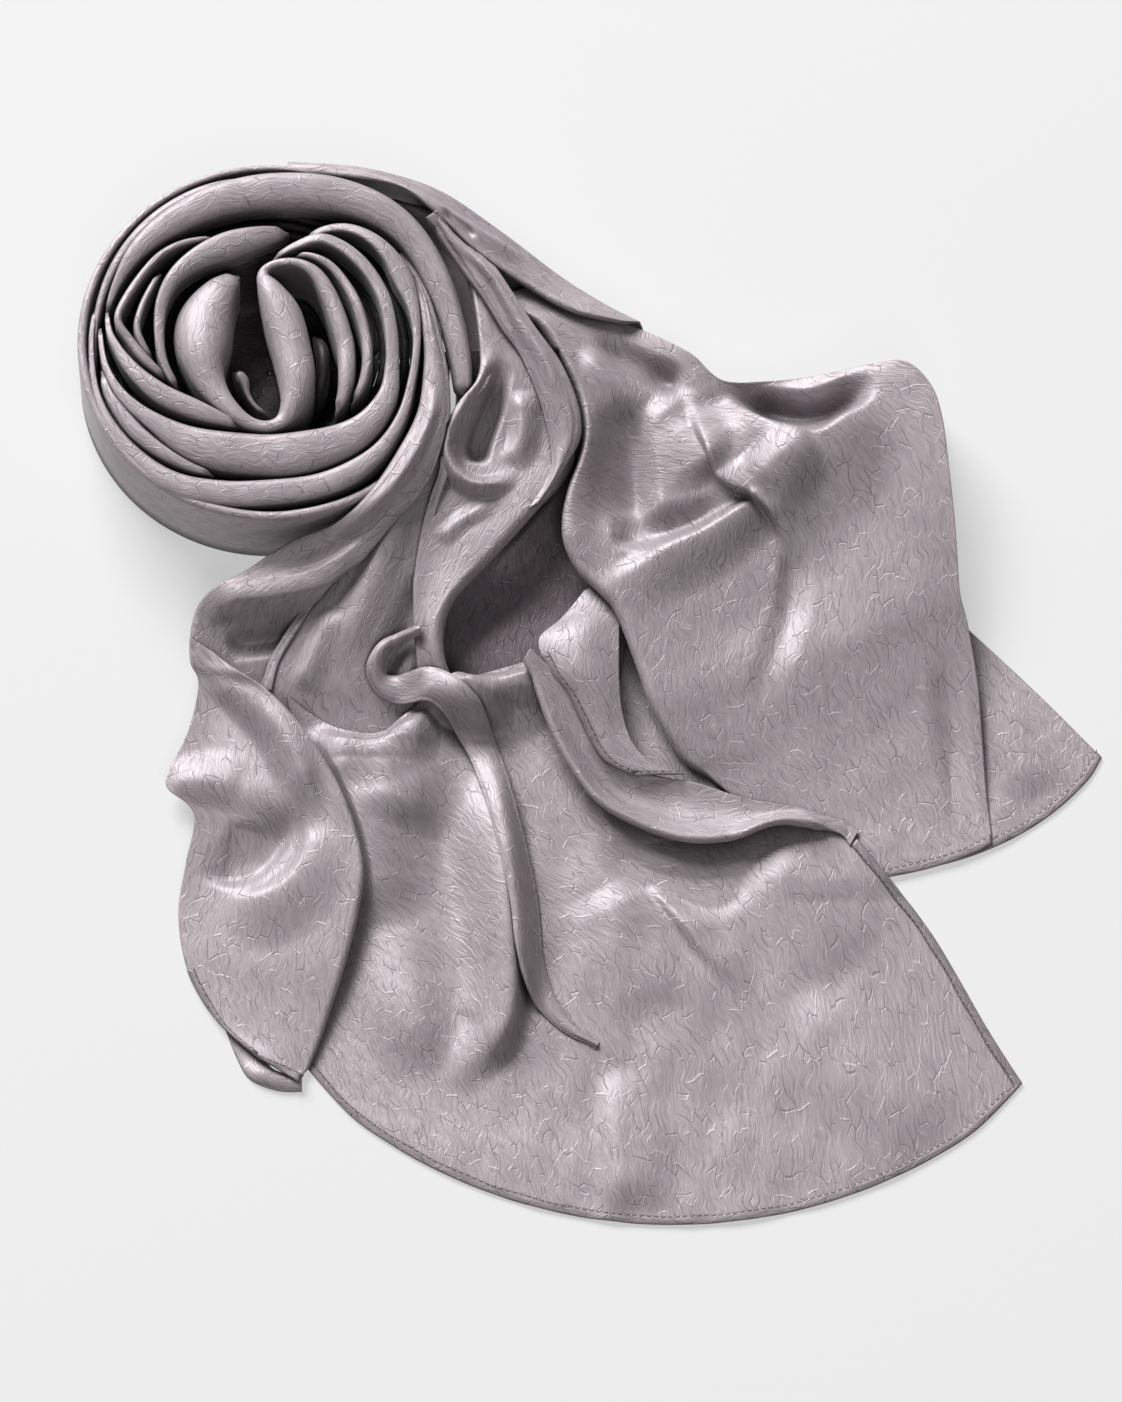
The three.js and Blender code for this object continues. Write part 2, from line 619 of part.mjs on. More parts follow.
function stretchGrid(row) {
  const leftEdge = curveThrough(row.sections.map((section) => section.left));
  const rightEdge = curveThrough(row.sections.map((section) => section.right));
  const bowCurve = curveThrough(row.sections.map((section, i) => [i, section.bow]));
  const puffCurve = curveThrough(row.sections.map((section, i) => [i, section.puff]));
  const folds = row.folds.map((fold) => ({ ...fold, line: curveThrough(fold.path).getPoints(16) }));
  const plan = [];
  for (let i = 0; i <= row.along; i += 1) {
    const t = i / row.along;
    const left = leftEdge.getPoint(t);
    const right = rightEdge.getPoint(t);
    const across = right.clone().sub(left);
    const ahead = new THREE.Vector2(-across.y, across.x).normalize();
    const line = [];
    for (let j = 0; j <= row.across; j += 1) {
      const v = j / row.across;
      const arch = Math.pow(4 * v * (1 - v), 0.8);
      const bow = bowCurve.getPoint(t).y * arch;
      const x = left.x + across.x * v + ahead.x * bow;
      const y = left.y + across.y * v + ahead.y * bow;
      const puff = puffCurve.getPoint(t).y * Math.sqrt(Math.sin(Math.PI * v) + 1e-9);
      const lift = folds.reduce((sum, fold) => sum + foldHeight(fold, x, y), 0);
      line.push([x, y, Math.max(puff + lift, 0)]);
    }
    plan.push(line);
  }
  return plan;
}

function gridSpacing(grid, i, j) {
  const [x, y] = grid[i][j];
  const beside = [grid[i - 1]?.[j], grid[i + 1]?.[j], grid[i][j - 1], grid[i][j + 1]].filter(Boolean);
  return Math.max(...beside.map((point) => Math.hypot(point[0] - x, point[1] - y)));
}

// Lays a grid of points on what is there already, and returns its underside.
function layGrid(grid, press) {
  let slack = Infinity;
  const under = grid.map((line, i) =>
    line.map(([x, y, lift], j) => {
      const below = laidHeight(x, y, clearShare * gridSpacing(grid, i, j));
      const z = (below > 0 ? below + seamGap : 0) + lift;
      const touched = laidHeight(x, y, 0);
      if (touched > 0) slack = Math.min(slack, z - touched);
      return [x, y, z];
    }),
  );
  const drop = press + (Number.isFinite(slack) ? Math.max(slack - settledGap, 0) : 0);
  return under.map((line) => line.map(([x, y, z]) => [x, y, Math.max(z - drop, 0)]));
}

function raiseGrid(grid, height) {
  return grid.map((line) => line.map(([x, y, z]) => [x, y, z + height]));
}

// A closed body between an underside and a top with the same plan.
function slabGeometry(under, top) {
  const rows = under.length;
  const columns = under[0].length;
  const positions = [...under.flat(2), ...top.flat(2)];
  const topStart = rows * columns;
  const faces = [];
  const quad = (a, b, c, d) => faces.push(a, b, c, a, c, d);
  for (let i = 0; i + 1 < rows; i += 1) {
    for (let j = 0; j + 1 < columns; j += 1) {
      const a = i * columns + j;
      quad(a, a + 1, a + columns + 1, a + columns);
      quad(topStart + a, topStart + a + columns, topStart + a + columns + 1, topStart + a + 1);
    }
  }
  const rim = [];
  for (let j = 0; j < columns; j += 1) rim.push(j);
  for (let i = 1; i < rows; i += 1) rim.push(i * columns + columns - 1);
  for (let j = columns - 2; j >= 0; j -= 1) rim.push((rows - 1) * columns + j);
  for (let i = rows - 2; i > 0; i -= 1) rim.push(i * columns);
  rim.forEach((a, k) => {
    const b = rim[(k + 1) % rim.length];
    quad(b, a, topStart + a, topStart + b);
  });
  return closedGeometry(positions, faces);
}

// A hem's strip, made from the points of its panel's edge: the edge itself, and the same distance
// inside it everywhere, with a mitre where it turns a corner.
function hemGrid(top, hem) {
  const lastRow = top.length - 1;
  const lastColumn = top[0].length - 1;
  const pairs = [];
  if (hem.left !== null) {
    for (let k = Math.round(hem.left * lastRow); k < lastRow; k += 1) {
      pairs.push([top[k][0], top[k][1]]);
    }
  }
  for (let k = 0; k <= lastColumn; k += 1) {
    let inner = k;
    if (k === 0 && hem.left !== null) inner = 1;
    if (k === lastColumn && hem.right !== null) inner = lastColumn - 1;
    pairs.push([top[lastRow][k], top[lastRow - 1][inner]]);
  }
  if (hem.right !== null) {
    for (let k = lastRow - 1; k >= Math.round(hem.right * lastRow); k -= 1) {
      pairs.push([top[k][lastColumn], top[k][lastColumn - 1]]);
    }
  }
  const strip = pairs.map(([edgePoint, insidePoint]) => {
    const edge = new THREE.Vector3(...edgePoint);
    const inside = new THREE.Vector3(...insidePoint);
    const share = Math.min(hemWidth / edge.distanceTo(inside), 1);
    return [edgePoint, edge.lerp(inside, share).toArray()];
  });
  return raiseGrid(strip, hemGap);
}

function heapGeometry() {
  const leftEdge = curveThrough(heapSections.map((section) => section.left));
  const rightEdge = curveThrough(heapSections.map((section) => section.right));
  const heightCurve = curveThrough(heapSections.map((section, i) => [i, section.height]));
  const along = 14;
  const across = 7;
  const under = [];
  for (let i = 0; i <= along; i += 1) {
    const t = i / along;
    const left = leftEdge.getPoint(t);
    const right = rightEdge.getPoint(t);
    const line = [];
    for (let j = 0; j <= across; j += 1) {
      const point = left.clone().lerp(right, j / across);
      line.push([point.x, point.y, 0]);
    }
    under.push(line);
  }
  const top = under.map((line, i) =>
    line.map(([x, y], j) => {
      const ends = Math.sin((Math.PI * i) / along) > 0 ? 1 : 0.3;
      const sides = j === 0 || j === across ? 0.45 : 1;
      return [x, y, heightCurve.getPoint(i / along).y * ends * sides];
    }),
  );
  markGrid(top);
  return slabGeometry(under, top);
}

addMesh('coil_layers', coilFillGeometry(), satinShade);
for (const row of wallRows) {
  addMesh(row.name, standingWallGeometry(row), satin);
}
for (const row of turnRows) {
  for (const { name, lines } of cutParts(row, turnRings(row))) {
    addMesh(name, loftRings(lines), satin);
  }
}
addMesh('coil_core_fold', coreFoldGeometry(), satin);
addMesh('under_layers', heapGeometry(), satinShade);

for (const row of stretchRows) {
  const under = layGrid(stretchGrid(row), row.press ?? 0);
  const top = raiseGrid(under, clothWall);
  for (const { name, lines } of cutParts(row, under)) {
    addMesh(name, slabGeometry(lines, raiseGrid(lines, clothWall)), satin);
  }
  markGrid(top);
  if (row.hem) {
    const strip = hemGrid(top, row.hem);
    const stripTop = raiseGrid(strip, hemWall);
    addMesh(row.hem.name, slabGeometry(strip, stripTop), hemSatin);
    markGrid(stripTop);
  }
}

// The part's own frame: the middle of its box on the surface it lies on.
const middle = new THREE.Box3().setFromObject(scarf).getCenter(new THREE.Vector3());
scarf.position.set(-middle.x, -middle.y, 0);

export default scarf;
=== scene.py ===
# A crinkled satin hijab, lying with one end rolled into a standing coil and the other fanned out.
# Sizes in the tables are millimetres, seen from above: x to the right, y away from the viewer.
import math

import bpy
import numpy as np
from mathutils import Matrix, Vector


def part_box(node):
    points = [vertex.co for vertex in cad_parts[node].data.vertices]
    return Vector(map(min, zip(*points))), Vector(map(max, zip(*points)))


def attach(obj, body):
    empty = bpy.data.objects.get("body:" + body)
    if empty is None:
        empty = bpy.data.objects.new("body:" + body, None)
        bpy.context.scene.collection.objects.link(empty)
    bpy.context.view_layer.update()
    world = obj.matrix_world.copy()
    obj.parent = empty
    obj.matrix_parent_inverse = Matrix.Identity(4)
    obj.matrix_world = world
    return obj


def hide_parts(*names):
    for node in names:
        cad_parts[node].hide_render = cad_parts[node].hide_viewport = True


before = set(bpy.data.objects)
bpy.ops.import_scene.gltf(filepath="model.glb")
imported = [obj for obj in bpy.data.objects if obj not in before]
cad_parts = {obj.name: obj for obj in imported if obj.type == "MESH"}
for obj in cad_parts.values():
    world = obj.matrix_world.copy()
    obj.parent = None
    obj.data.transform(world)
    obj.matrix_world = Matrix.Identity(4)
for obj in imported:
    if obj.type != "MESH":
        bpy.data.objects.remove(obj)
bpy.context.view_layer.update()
mm = 0.001

studio = {
    "elevation": 70.0,  # degrees above the surface
    "lens": 400.0,
    "distance": 8.56,
    "target": (-15.7, 2.4, 0.0),
    "floorColour": "#909090",
    "floorGlow": 0.5,  # a lit table, so that shadows on it stay faint
    "floorHalfSize": 9000.0,
    "floorDrop": 0.05,
    "worldLight": 0.1,
}
cloth = {
    "wall": 0.8,  # one layer of satin as drawn
    "gap": 0.45,  # air between layers that touch
    "bridge": 4.5,  # gaps in the layers below that are narrower than this are spanned
    "snug": 2.0,
    "mapCell": 1.5,
    "mapHalf": 345.0,
    "lineCount": 17,  # points across one section of a stretch
    "bowShape": 0.8,
    "foldSteps": 41,
    "foldTaper": 0.25,  # share of a fold's length over which each of its ends fades
    "rippleWave": 34.0,
    "rippleStretch": 0.6,
    "laidFrom": 0.01,  # a height above this is cloth that lies there already
    "heldFrom": 0.5,  # a rest height above this holds an edge up
    "leastTurn": 0.7,  # the tightest turn of a tucked edge
}

# The tables have the rolled end's middle here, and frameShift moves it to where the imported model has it.
rollMiddle = (-176.0, 195.0)
rollLow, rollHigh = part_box("coil_layers")
frameShift = np.array([(rollLow[i] + rollHigh[i]) / 2 - rollMiddle[i] * mm for i in (0, 1)] + [0.0])
tiny = 1e-6


def hexColour(text):
    values = [int(text[i : i + 2], 16) / 255 for i in (1, 3, 5)]
    linear = [v / 12.92 if v <= 0.04045 else ((v + 0.055) / 1.055) ** 2.4 for v in values]
    return (*linear, 1.0)


# curves

def curveAt(points, t):
    # a smooth curve through points, t from 0 to 1, in equal shares from point to point
    p = np.asarray(points, float)
    if p.ndim == 0:
        p = np.array([p, p])
    if p.ndim == 1:
        p = p[:, None]
    shape = np.shape(t)
    last = len(p) - 1
    s = np.clip(np.asarray(t, float).ravel(), 0, 1) * last
    i = np.minimum(s.astype(int), last - 1)
    w = (s - i)[:, None]
    a, b = p[np.maximum(i - 1, 0)], p[i]
    c, d = p[i + 1], p[np.minimum(i + 2, last)]
    value = 0.5 * (2 * b + (c - a) * w + (2 * a - 5 * b + 4 * c - d) * w**2 + (3 * b - a - 3 * c + d) * w**3)
    return value.reshape(*shape, p.shape[1])


def lengthAlong(line):
    return np.concatenate([[0], np.cumsum(np.linalg.norm(np.diff(line, axis=0), axis=1))])


def leftOf(line):
    # the level direction to the left at each point of a line seen from above
    ahead = np.gradient(line, axis=0)
    ahead /= np.linalg.norm(ahead, axis=1, keepdims=True)
    return np.stack([-ahead[:, 1], ahead[:, 0]], axis=1)


def easeStep(t):
    s = np.clip(t, 0, 1)
    return s * s * (3 - 2 * s)


def softNoise(u, v, seed, wave):
    # a few crossed waves with fixed phases, between about -1 and 1; wave is in the units of u and v
    rng = np.random.default_rng(seed)
    total = np.zeros_like(u)
    for _ in range(7):
        angle, phase = rng.uniform(0, math.pi), rng.uniform(0, 2 * math.pi)
        size = wave * rng.uniform(0.6, 1.7)
        total += np.sin(2 * math.pi * (u * math.cos(angle) + v * math.sin(angle)) / size + phase)
    return total / 4.5


# meshes

def arcShares(grid):
    # distances along the cloth and across it, in metres, averaged so that the weave stays straight
    along = np.linalg.norm(np.diff(grid, axis=0), axis=2).mean(axis=1)
    across = np.linalg.norm(np.diff(grid, axis=1), axis=2)
    v = np.concatenate([[0], np.cumsum(along)])
    u = np.concatenate([np.zeros((len(grid), 1)), np.cumsum(across, axis=1)], axis=1)
    u -= u[:, -1:] / 2
    return u * mm, np.repeat(v[:, None], grid.shape[1], axis=1) * mm


def gridNormals(grid):
    du = np.gradient(grid, axis=1)
    dv = np.gradient(grid, axis=0)
    n = np.cross(du, dv)
    return n / np.maximum(np.linalg.norm(n, axis=2, keepdims=True), 1e-9)


def addObject(name, data):
    made = bpy.data.objects.new(name, data)
    bpy.context.scene.collection.objects.link(made)
    return made


def meshPiece(name, points, faces, material, uv=None):
    mesh = bpy.data.meshes.new(name)
    mesh.from_pydata((np.asarray(points) * mm + frameShift).tolist(), [], faces.tolist())
    mesh.update()
    if uv is not None:
        layer = mesh.uv_layers.new(name="clothMetres")
        corners = np.empty(len(mesh.loops), dtype=np.int32)
        mesh.loops.foreach_get("vertex_index", corners)
        layer.data.foreach_set("uv", uv[corners].ravel())
    mesh.shade_smooth()
    mesh.materials.append(material)
    return addObject(name, mesh)


def shellPiece(name, grid, material, wall, uvStart=(0.0, 0.0), flip=False):
    # one layer of cloth: grid is its upper face, and the lower one is wall below it
    rows, columns = grid.shape[:2]
    under = grid - gridNormals(grid) * wall * (-1 if flip else 1)
    u, v = arcShares(grid)
    uv = np.stack([u + uvStart[0], v + uvStart[1]], axis=2).reshape(-1, 2)
    points = np.concatenate([grid.reshape(-1, 3), under.reshape(-1, 3)])
    index = np.arange(rows * columns).reshape(rows, columns)
    a, b = index[:-1, :-1].ravel(), index[:-1, 1:].ravel()
    c, d = index[1:, 1:].ravel(), index[1:, :-1].ravel()
    upper = np.stack([a, b, c, d], axis=1)
    if flip:
        upper = upper[:, ::-1]
    lower = upper[:, ::-1] + rows * columns
    rim = np.concatenate([index[0, :], index[1:, -1], index[-1, -2::-1], index[-2:0:-1, 0]])
    after = np.roll(rim, -1)
    if flip:
        rim, after = after, rim
    wallFaces = np.stack([after, rim, rim + rows * columns, after + rows * columns], axis=1)
    faces = np.concatenate([upper, lower, wallFaces])
    return meshPiece(name, points, faces, material, np.concatenate([uv, uv]))


# the map of how high the cloth lies so far

mapCount = int(2 * cloth["mapHalf"] / cloth["mapCell"])
laidMap = np.zeros((mapCount, mapCount))


def markLaid(grid):
    # marks every patch of the grid, finely enough that no cell is missed
    shares = np.linspace(0, 1, 4)[:-1]
    for s in shares:
        for t in shares:
            near = (1 - t) * grid[:-1, :-1] + t * grid[:-1, 1:]
            far = (1 - t) * grid[1:, :-1] + t * grid[1:, 1:]
            p = (1 - s) * near + s * far
            cell = ((p[..., :2] + cloth["mapHalf"]) / cloth["mapCell"]).astype(int)
            cell = np.clip(cell, 0, mapCount - 1)
            np.maximum.at(laidMap, (cell[..., 1], cell[..., 0]), p[..., 2])


def spread(field, reach, mix):
    # the largest value (or the mean) within reach cells, along both axes in turn
    for axis in (0, 1):
        padded = np.pad(field, [(reach, reach) if k == axis else (0, 0) for k in (0, 1)], mode="edge")
        slices = [np.take(padded, np.arange(k, k + mapCount), axis=axis) for k in range(2 * reach + 1)]
        field = mix(slices, axis=0)
    return field


def laidUnder(x, y, clear):
    # height of the layers below, bridged over anything narrower than clear, read between cells
    reach = max(1, round(clear / cloth["mapCell"]))
    bridged = spread(spread(laidMap, reach, np.max), reach, np.mean)
    gx, gy = [np.clip((p + cloth["mapHalf"]) / cloth["mapCell"] - 0.5, 0, mapCount - 1.001) for p in (x, y)]
    i, j = gy.astype(int), gx.astype(int)
    s, t = gy - i, gx - j
    near = (1 - t) * bridged[i, j] + t * bridged[i, j + 1]
    far = (1 - t) * bridged[i + 1, j] + t * bridged[i + 1, j + 1]
    return (1 - s) * near + s * far


def restingOn(x, y, clear):
    # height of the cloth where it lies on the layers below, or on the table
    below = laidUnder(x, y, clear)
    return np.where(below > cloth["laidFrom"], below + cloth["gap"], 0.0) + cloth["wall"]


# rows and folds

def row(left, right, rest=(0.0, 0.0), sag=0.0, puff=0.0, bow=0.0):
    return {"left": left, "right": right, "rest": rest, "sag": sag, "puff": puff, "bow": bow}


def bentRow(line, puff=0.0):
    return {"line": line, "rest": (0.0, 0.0), "sag": 0.0, "puff": puff}


def fold(path, rise, left, right, lean=0.0):
    return {"path": path, "rise": rise, "left": left, "right": right, "lean": lean}


def foldParts(crease, x, y):
    # how much of a fold is felt at each place, how high it is there, and the way its crest leans
    line = curveAt(crease["path"], np.linspace(0, 1, cloth["foldSteps"]))
    best = np.full(x.shape, 1e9)
    side, along = np.zeros(x.shape), np.zeros(x.shape)
    leanX, leanY = np.zeros(x.shape), np.zeros(x.shape)
    for i in range(len(line) - 1):
        a, step = line[i], line[i + 1] - line[i]
        t = np.clip(((x - a[0]) * step[0] + (y - a[1]) * step[1]) / (step @ step), 0, 1)
        distance = np.hypot(x - a[0] - t * step[0], y - a[1] - t * step[1])
        near = distance < best
        best = np.where(near, distance, best)
        cross = step[0] * (y - a[1]) - step[1] * (x - a[0])
        side = np.where(near, np.sign(cross), side)
        along = np.where(near, (i + t) / (len(line) - 1), along)
        length = math.hypot(*step)
        leanX = np.where(near, step[1] / length, leanX)
        leanY = np.where(near, -step[0] / length, leanY)
    left, right = [curveAt(crease[key], along)[..., 0] for key in ("left", "right")]
    rise, lean = [curveAt(crease[key], along)[..., 0] for key in ("rise", "lean")]
    share = np.clip(1 - best / np.maximum(np.where(side > 0, left, right), 0.5), 0, 1)
    shape = easeStep(share)
    taper = easeStep(along / cloth["foldTaper"]) * easeStep((1 - along) / cloth["foldTaper"])
    lean = lean * shape * taper
    return rise * shape * taper, lean * leanX, lean * leanY


def sectionLine(section):
    # the plan of one section as points from its left edge to its right edge
    v = np.linspace(0, 1, cloth["lineCount"])[:, None]
    if "line" in section:
        return curveAt(section["line"], v[:, 0])
    left, right = np.array(section["left"], float), np.array(section["right"], float)
    across = right - left
    ahead = np.array([-across[1], across[0]]) / np.linalg.norm(across)
    arch = (4 * v * (1 - v)) ** cloth["bowShape"]
    return left + across * v + ahead * section["bow"] * arch


def stretchPlan(piece):
    # places across and along a stretch, seen from above, and how far each is lifted
    rows, columns = piece["steps"]
    sections = piece["sections"]
    t = np.linspace(0, 1, rows)
    lines = np.array([sectionLine(section) for section in sections])
    plan = curveAt(lines.reshape(len(sections), -1), t).reshape(rows, -1, 2)
    tucks = piece.get("tuck", {})
    reach = np.linalg.norm(plan[:, -1] - plan[:, 0], axis=1)
    mostInset = 0.3  # share of the width that a tuck may take from one side
    start = np.minimum(tucks.get("left", (0, 0))[0] / reach, mostInset)
    stop = 1 - np.minimum(tucks.get("right", (0, 0))[0] / reach, mostInset)
    v = np.linspace(0, 1, columns)[None, :]
    place = start[:, None] * (1 - v) + stop[:, None] * v
    x, y = np.empty((rows, columns)), np.empty((rows, columns))
    for i in range(rows):
        x[i], y[i] = curveAt(plan[i], place[i]).T
    puff, rest, sag = [curveAt([section[key] for section in sections], t) for key in ("puff", "rest", "sag")]
    lift = puff * np.sqrt(np.sin(np.pi * v) + 1e-9)
    held = rest[:, :1] * (1 - v) + rest[:, 1:] * v - sag * np.sin(np.pi * v)
    shiftX, shiftY = np.zeros_like(x), np.zeros_like(y)
    for crease in piece["folds"]:
        rise, pushX, pushY = foldParts(crease, x, y)
        lift = lift + rise
        shiftX += pushX
        shiftY += pushY
    return x, y, held, lift, shiftX, shiftY


def edgeOutward(grid, side):
    # an edge of the cloth, and the level way out from it
    edge, inner = (grid[:, 0], grid[:, 2]) if side == "left" else (grid[:, -1], grid[:, -3])
    out = (edge - inner) * [1, 1, 0]
    return edge, out / np.maximum(np.linalg.norm(out, axis=1, keepdims=True), tiny)


def widen(grid, side, extra):
    # more lines of cloth beyond an edge, given from the edge outwards
    extra = np.stack(extra, axis=1)
    if side == "left":
        return np.concatenate([extra[:, ::-1], grid], axis=1)
    return np.concatenate([grid, extra], axis=1)


def tuckEdge(grid, side, radius, depth):
    # folds an edge under: a half turn of the given radius, then depth of cloth back beneath
    edge, out = edgeOutward(grid, side)
    below = laidUnder(edge[:, 0], edge[:, 1], cloth["mapCell"])
    room = np.clip((edge[:, 2] - below - cloth["gap"] * 2) / 2, cloth["leastTurn"], None)
    r = np.minimum(radius, room)[:, None]
    down = np.array([0, 0, 1])
    extra = []
    for angle in np.linspace(0, math.pi, 8)[1:]:
        extra.append(edge + out * r * math.sin(angle) - down * r * (1 - math.cos(angle)))
    for share in (0.35, 0.7, 1.0):
        extra.append(edge - out * depth * share - down * (2 * r + 0.6 * share))
    return widen(grid, side, extra)


def dropEdge(grid, side, reach):
    # lets an edge fall to the surface, with the given reach outwards
    edge, out = edgeOutward(grid, side)
    extra = []
    for share in np.linspace(0, 1, 11)[1:]:
        step = edge + out * reach * math.sin(share * math.pi / 2)
        step[:, 2] = cloth["wall"] + (edge[:, 2] - cloth["wall"]) * (1 - share) ** 0.9
        extra.append(step)
    return widen(grid, side, extra)


def layStretch(piece):
    # the stretch as it lies on what is below, without and with its tucked and dropped edges
    x, y, held, lift, shiftX, shiftY = stretchPlan(piece)
    bed = np.where(held > cloth["heldFrom"], held, restingOn(x, y, cloth["bridge"]))
    noise = softNoise(x, y * cloth["rippleStretch"], piece["seed"], cloth["rippleWave"])
    ripple = piece["ripple"] * noise
    edgeFade = np.sin(np.pi * np.linspace(0, 1, x.shape[1]))[None, :]
    z = bed + lift + (ripple + piece["ripple"]) * edgeFade
    z = np.maximum(z, restingOn(x, y, cloth["snug"]))
    flat = np.stack([x + shiftX, y + shiftY, z], axis=2)
    grid = flat
    for side in ("left", "right"):
        if piece.get("tuck", {}).get(side):
            grid = tuckEdge(grid, side, *piece["tuck"][side])
        if piece.get("drop", {}).get(side):
            grid = dropEdge(grid, side, piece["drop"][side])
    if piece.get("marked", True):
        markLaid(grid)
    return flat, grid


# materials

def addNode(tree, kind, settings=None, values=None, links=()):
    # one node with its settings, its input values, and links into it as (input, node, output)
    node = tree.nodes.new(kind)
    for key, value in (settings or {}).items():
        setattr(node, key, value)
    for key, value in (values or {}).items():
        node.inputs[key].default_value = value
    for socket, source, output in links:
        tree.links.new(source.outputs[output], node.inputs[socket])
    return node


smoothRange = {"interpolation_type": "SMOOTHSTEP"}
multiply = {"operation": "MULTIPLY"}
multiplyAdd = {"operation": "MULTIPLY_ADD"}
colourMix = {"data_type": "RGBA"}


def noiseOf(size, detail, **more):
    # input values of a noise whose marks have one size, in mm
    return {"Scale": 1 / (size * mm), "Detail": detail, **more}


def newMaterial(name):
    material = bpy.data.materials.new(name)
    material.use_nodes = True
    material.node_tree.nodes.clear()
    return material, material.node_tree


def crinkleHeight(tree, crinkle):
    # heights of the crinkle over the cloth's own metres: long cracks, cracks across them, fine streaks
    overCloth = {"noise_dimensions": "2D"}
    place = addNode(tree, "ShaderNodeUVMap", {"uv_map": "clothMetres"})
    uv = [("Vector", place, "UV")]
    stir = addNode(tree, "ShaderNodeTexNoise", overCloth, noiseOf(crinkle["stirSize"], 1.0), uv)
    centred = addNode(
        tree, "ShaderNodeVectorMath", {"operation": "SUBTRACT"}, {1: (0.5, 0.5, 0.5)}, [(0, stir, "Color")]
    )
    moved = addNode(
        tree, "ShaderNodeVectorMath", multiplyAdd, {1: (crinkle["stir"] * mm,) * 3},
        [(0, centred, "Vector"), (2, place, "UV")],
    )
    patches = addNode(tree, "ShaderNodeTexNoise", overCloth, noiseOf(crinkle["patch"], 1.0), uv)
    patch = addNode(tree, "ShaderNodeSeparateColor", {}, {}, [("Color", patches, "Color")])
    streakPlace = addNode(
        tree, "ShaderNodeMapping", {}, {"Scale": (1, 1 / crinkle["streakStretch"], 1)},
        [("Vector", moved, "Vector")],
    )
    streaks = addNode(
        tree, "ShaderNodeTexNoise", overCloth, noiseOf(crinkle["streakSize"], 2.0, Roughness=0.6),
        [("Vector", streakPlace, "Vector")],
    )
    height = addNode(tree, "ShaderNodeMath", multiply, {1: crinkle["streakHeight"]}, [(0, streaks, "Fac")])
    for k, layer in enumerate(crinkle["layers"]):
        turned = addNode(
            tree, "ShaderNodeMapping", {},
            {"Rotation": (0, 0, math.radians(layer["turn"])), "Scale": (1, 1 / layer["stretch"], 1)},
            [("Vector", moved, "Vector")],
        )
        cracks = addNode(
            tree, "ShaderNodeTexVoronoi", {"feature": "DISTANCE_TO_EDGE", "voronoi_dimensions": "2D"},
            {"Scale": 1 / (layer["size"] * mm)}, [("Vector", turned, "Vector")],
        )
        edge = addNode(
            tree, "ShaderNodeMapRange", smoothRange,
            {"From Max": layer["edge"], "To Min": 1.0, "To Max": 0.0}, [("Value", cracks, "Distance")],
        )
        low, high = layer["shown"]
        shown = addNode(
            tree, "ShaderNodeMapRange", smoothRange,
            {"From Min": low, "From Max": high, "To Max": layer["height"]}, [("Value", patch, k)],
        )
        height = addNode(
            tree, "ShaderNodeMath", multiplyAdd, {},
            [(0, edge, "Result"), (1, shown, "Result"), (2, height, 0)],
        )
    return height


crinkledSatinLook = {
    "ridgeHighlightColour": "#b0a7ab",
    "colour": "#a0979b",
    "grooveShadeColour": "#8b8488",
    "metallic": 0.3,
    "roughness": 0.54,
    "anisotropy": 0.3,
    "sheen": 0.1,
    "sheenRoughness": 0.4,
    "ior": 1.5,
    "bump": 0.62,
    "bumpDepth": 0.0005,
    "tintReach": 0.4,  # crinkle height over which the colour turns to the painted ridge highlight or the painted groove shade
    "hollowShade": 0.92,  # how much painted shade darkens the cloth deep in a fold
    "hollowReach": 0.02,
    "hollowOpen": (0.15, 0.8),  # openness of a fold where it is darkest, and where it is not dark
    "crinkle": {
        "stirSize": 15.0,  # how large the wandering of the cracks is, in mm
        "stir": 8.5,
        "patch": 13.0,
        "layers": [
            {"size": 6.4, "stretch": 3.0, "turn": 7, "edge": 0.045, "shown": (0.40, 0.58), "height": 0.42},
            {"size": 5.6, "stretch": 2.6, "turn": -12, "edge": 0.055, "shown": (0.42, 0.60), "height": -0.55},
        ],
        "streakSize": 1.7,
        "streakStretch": 6.5,
        "streakHeight": 0.95,
    },
}


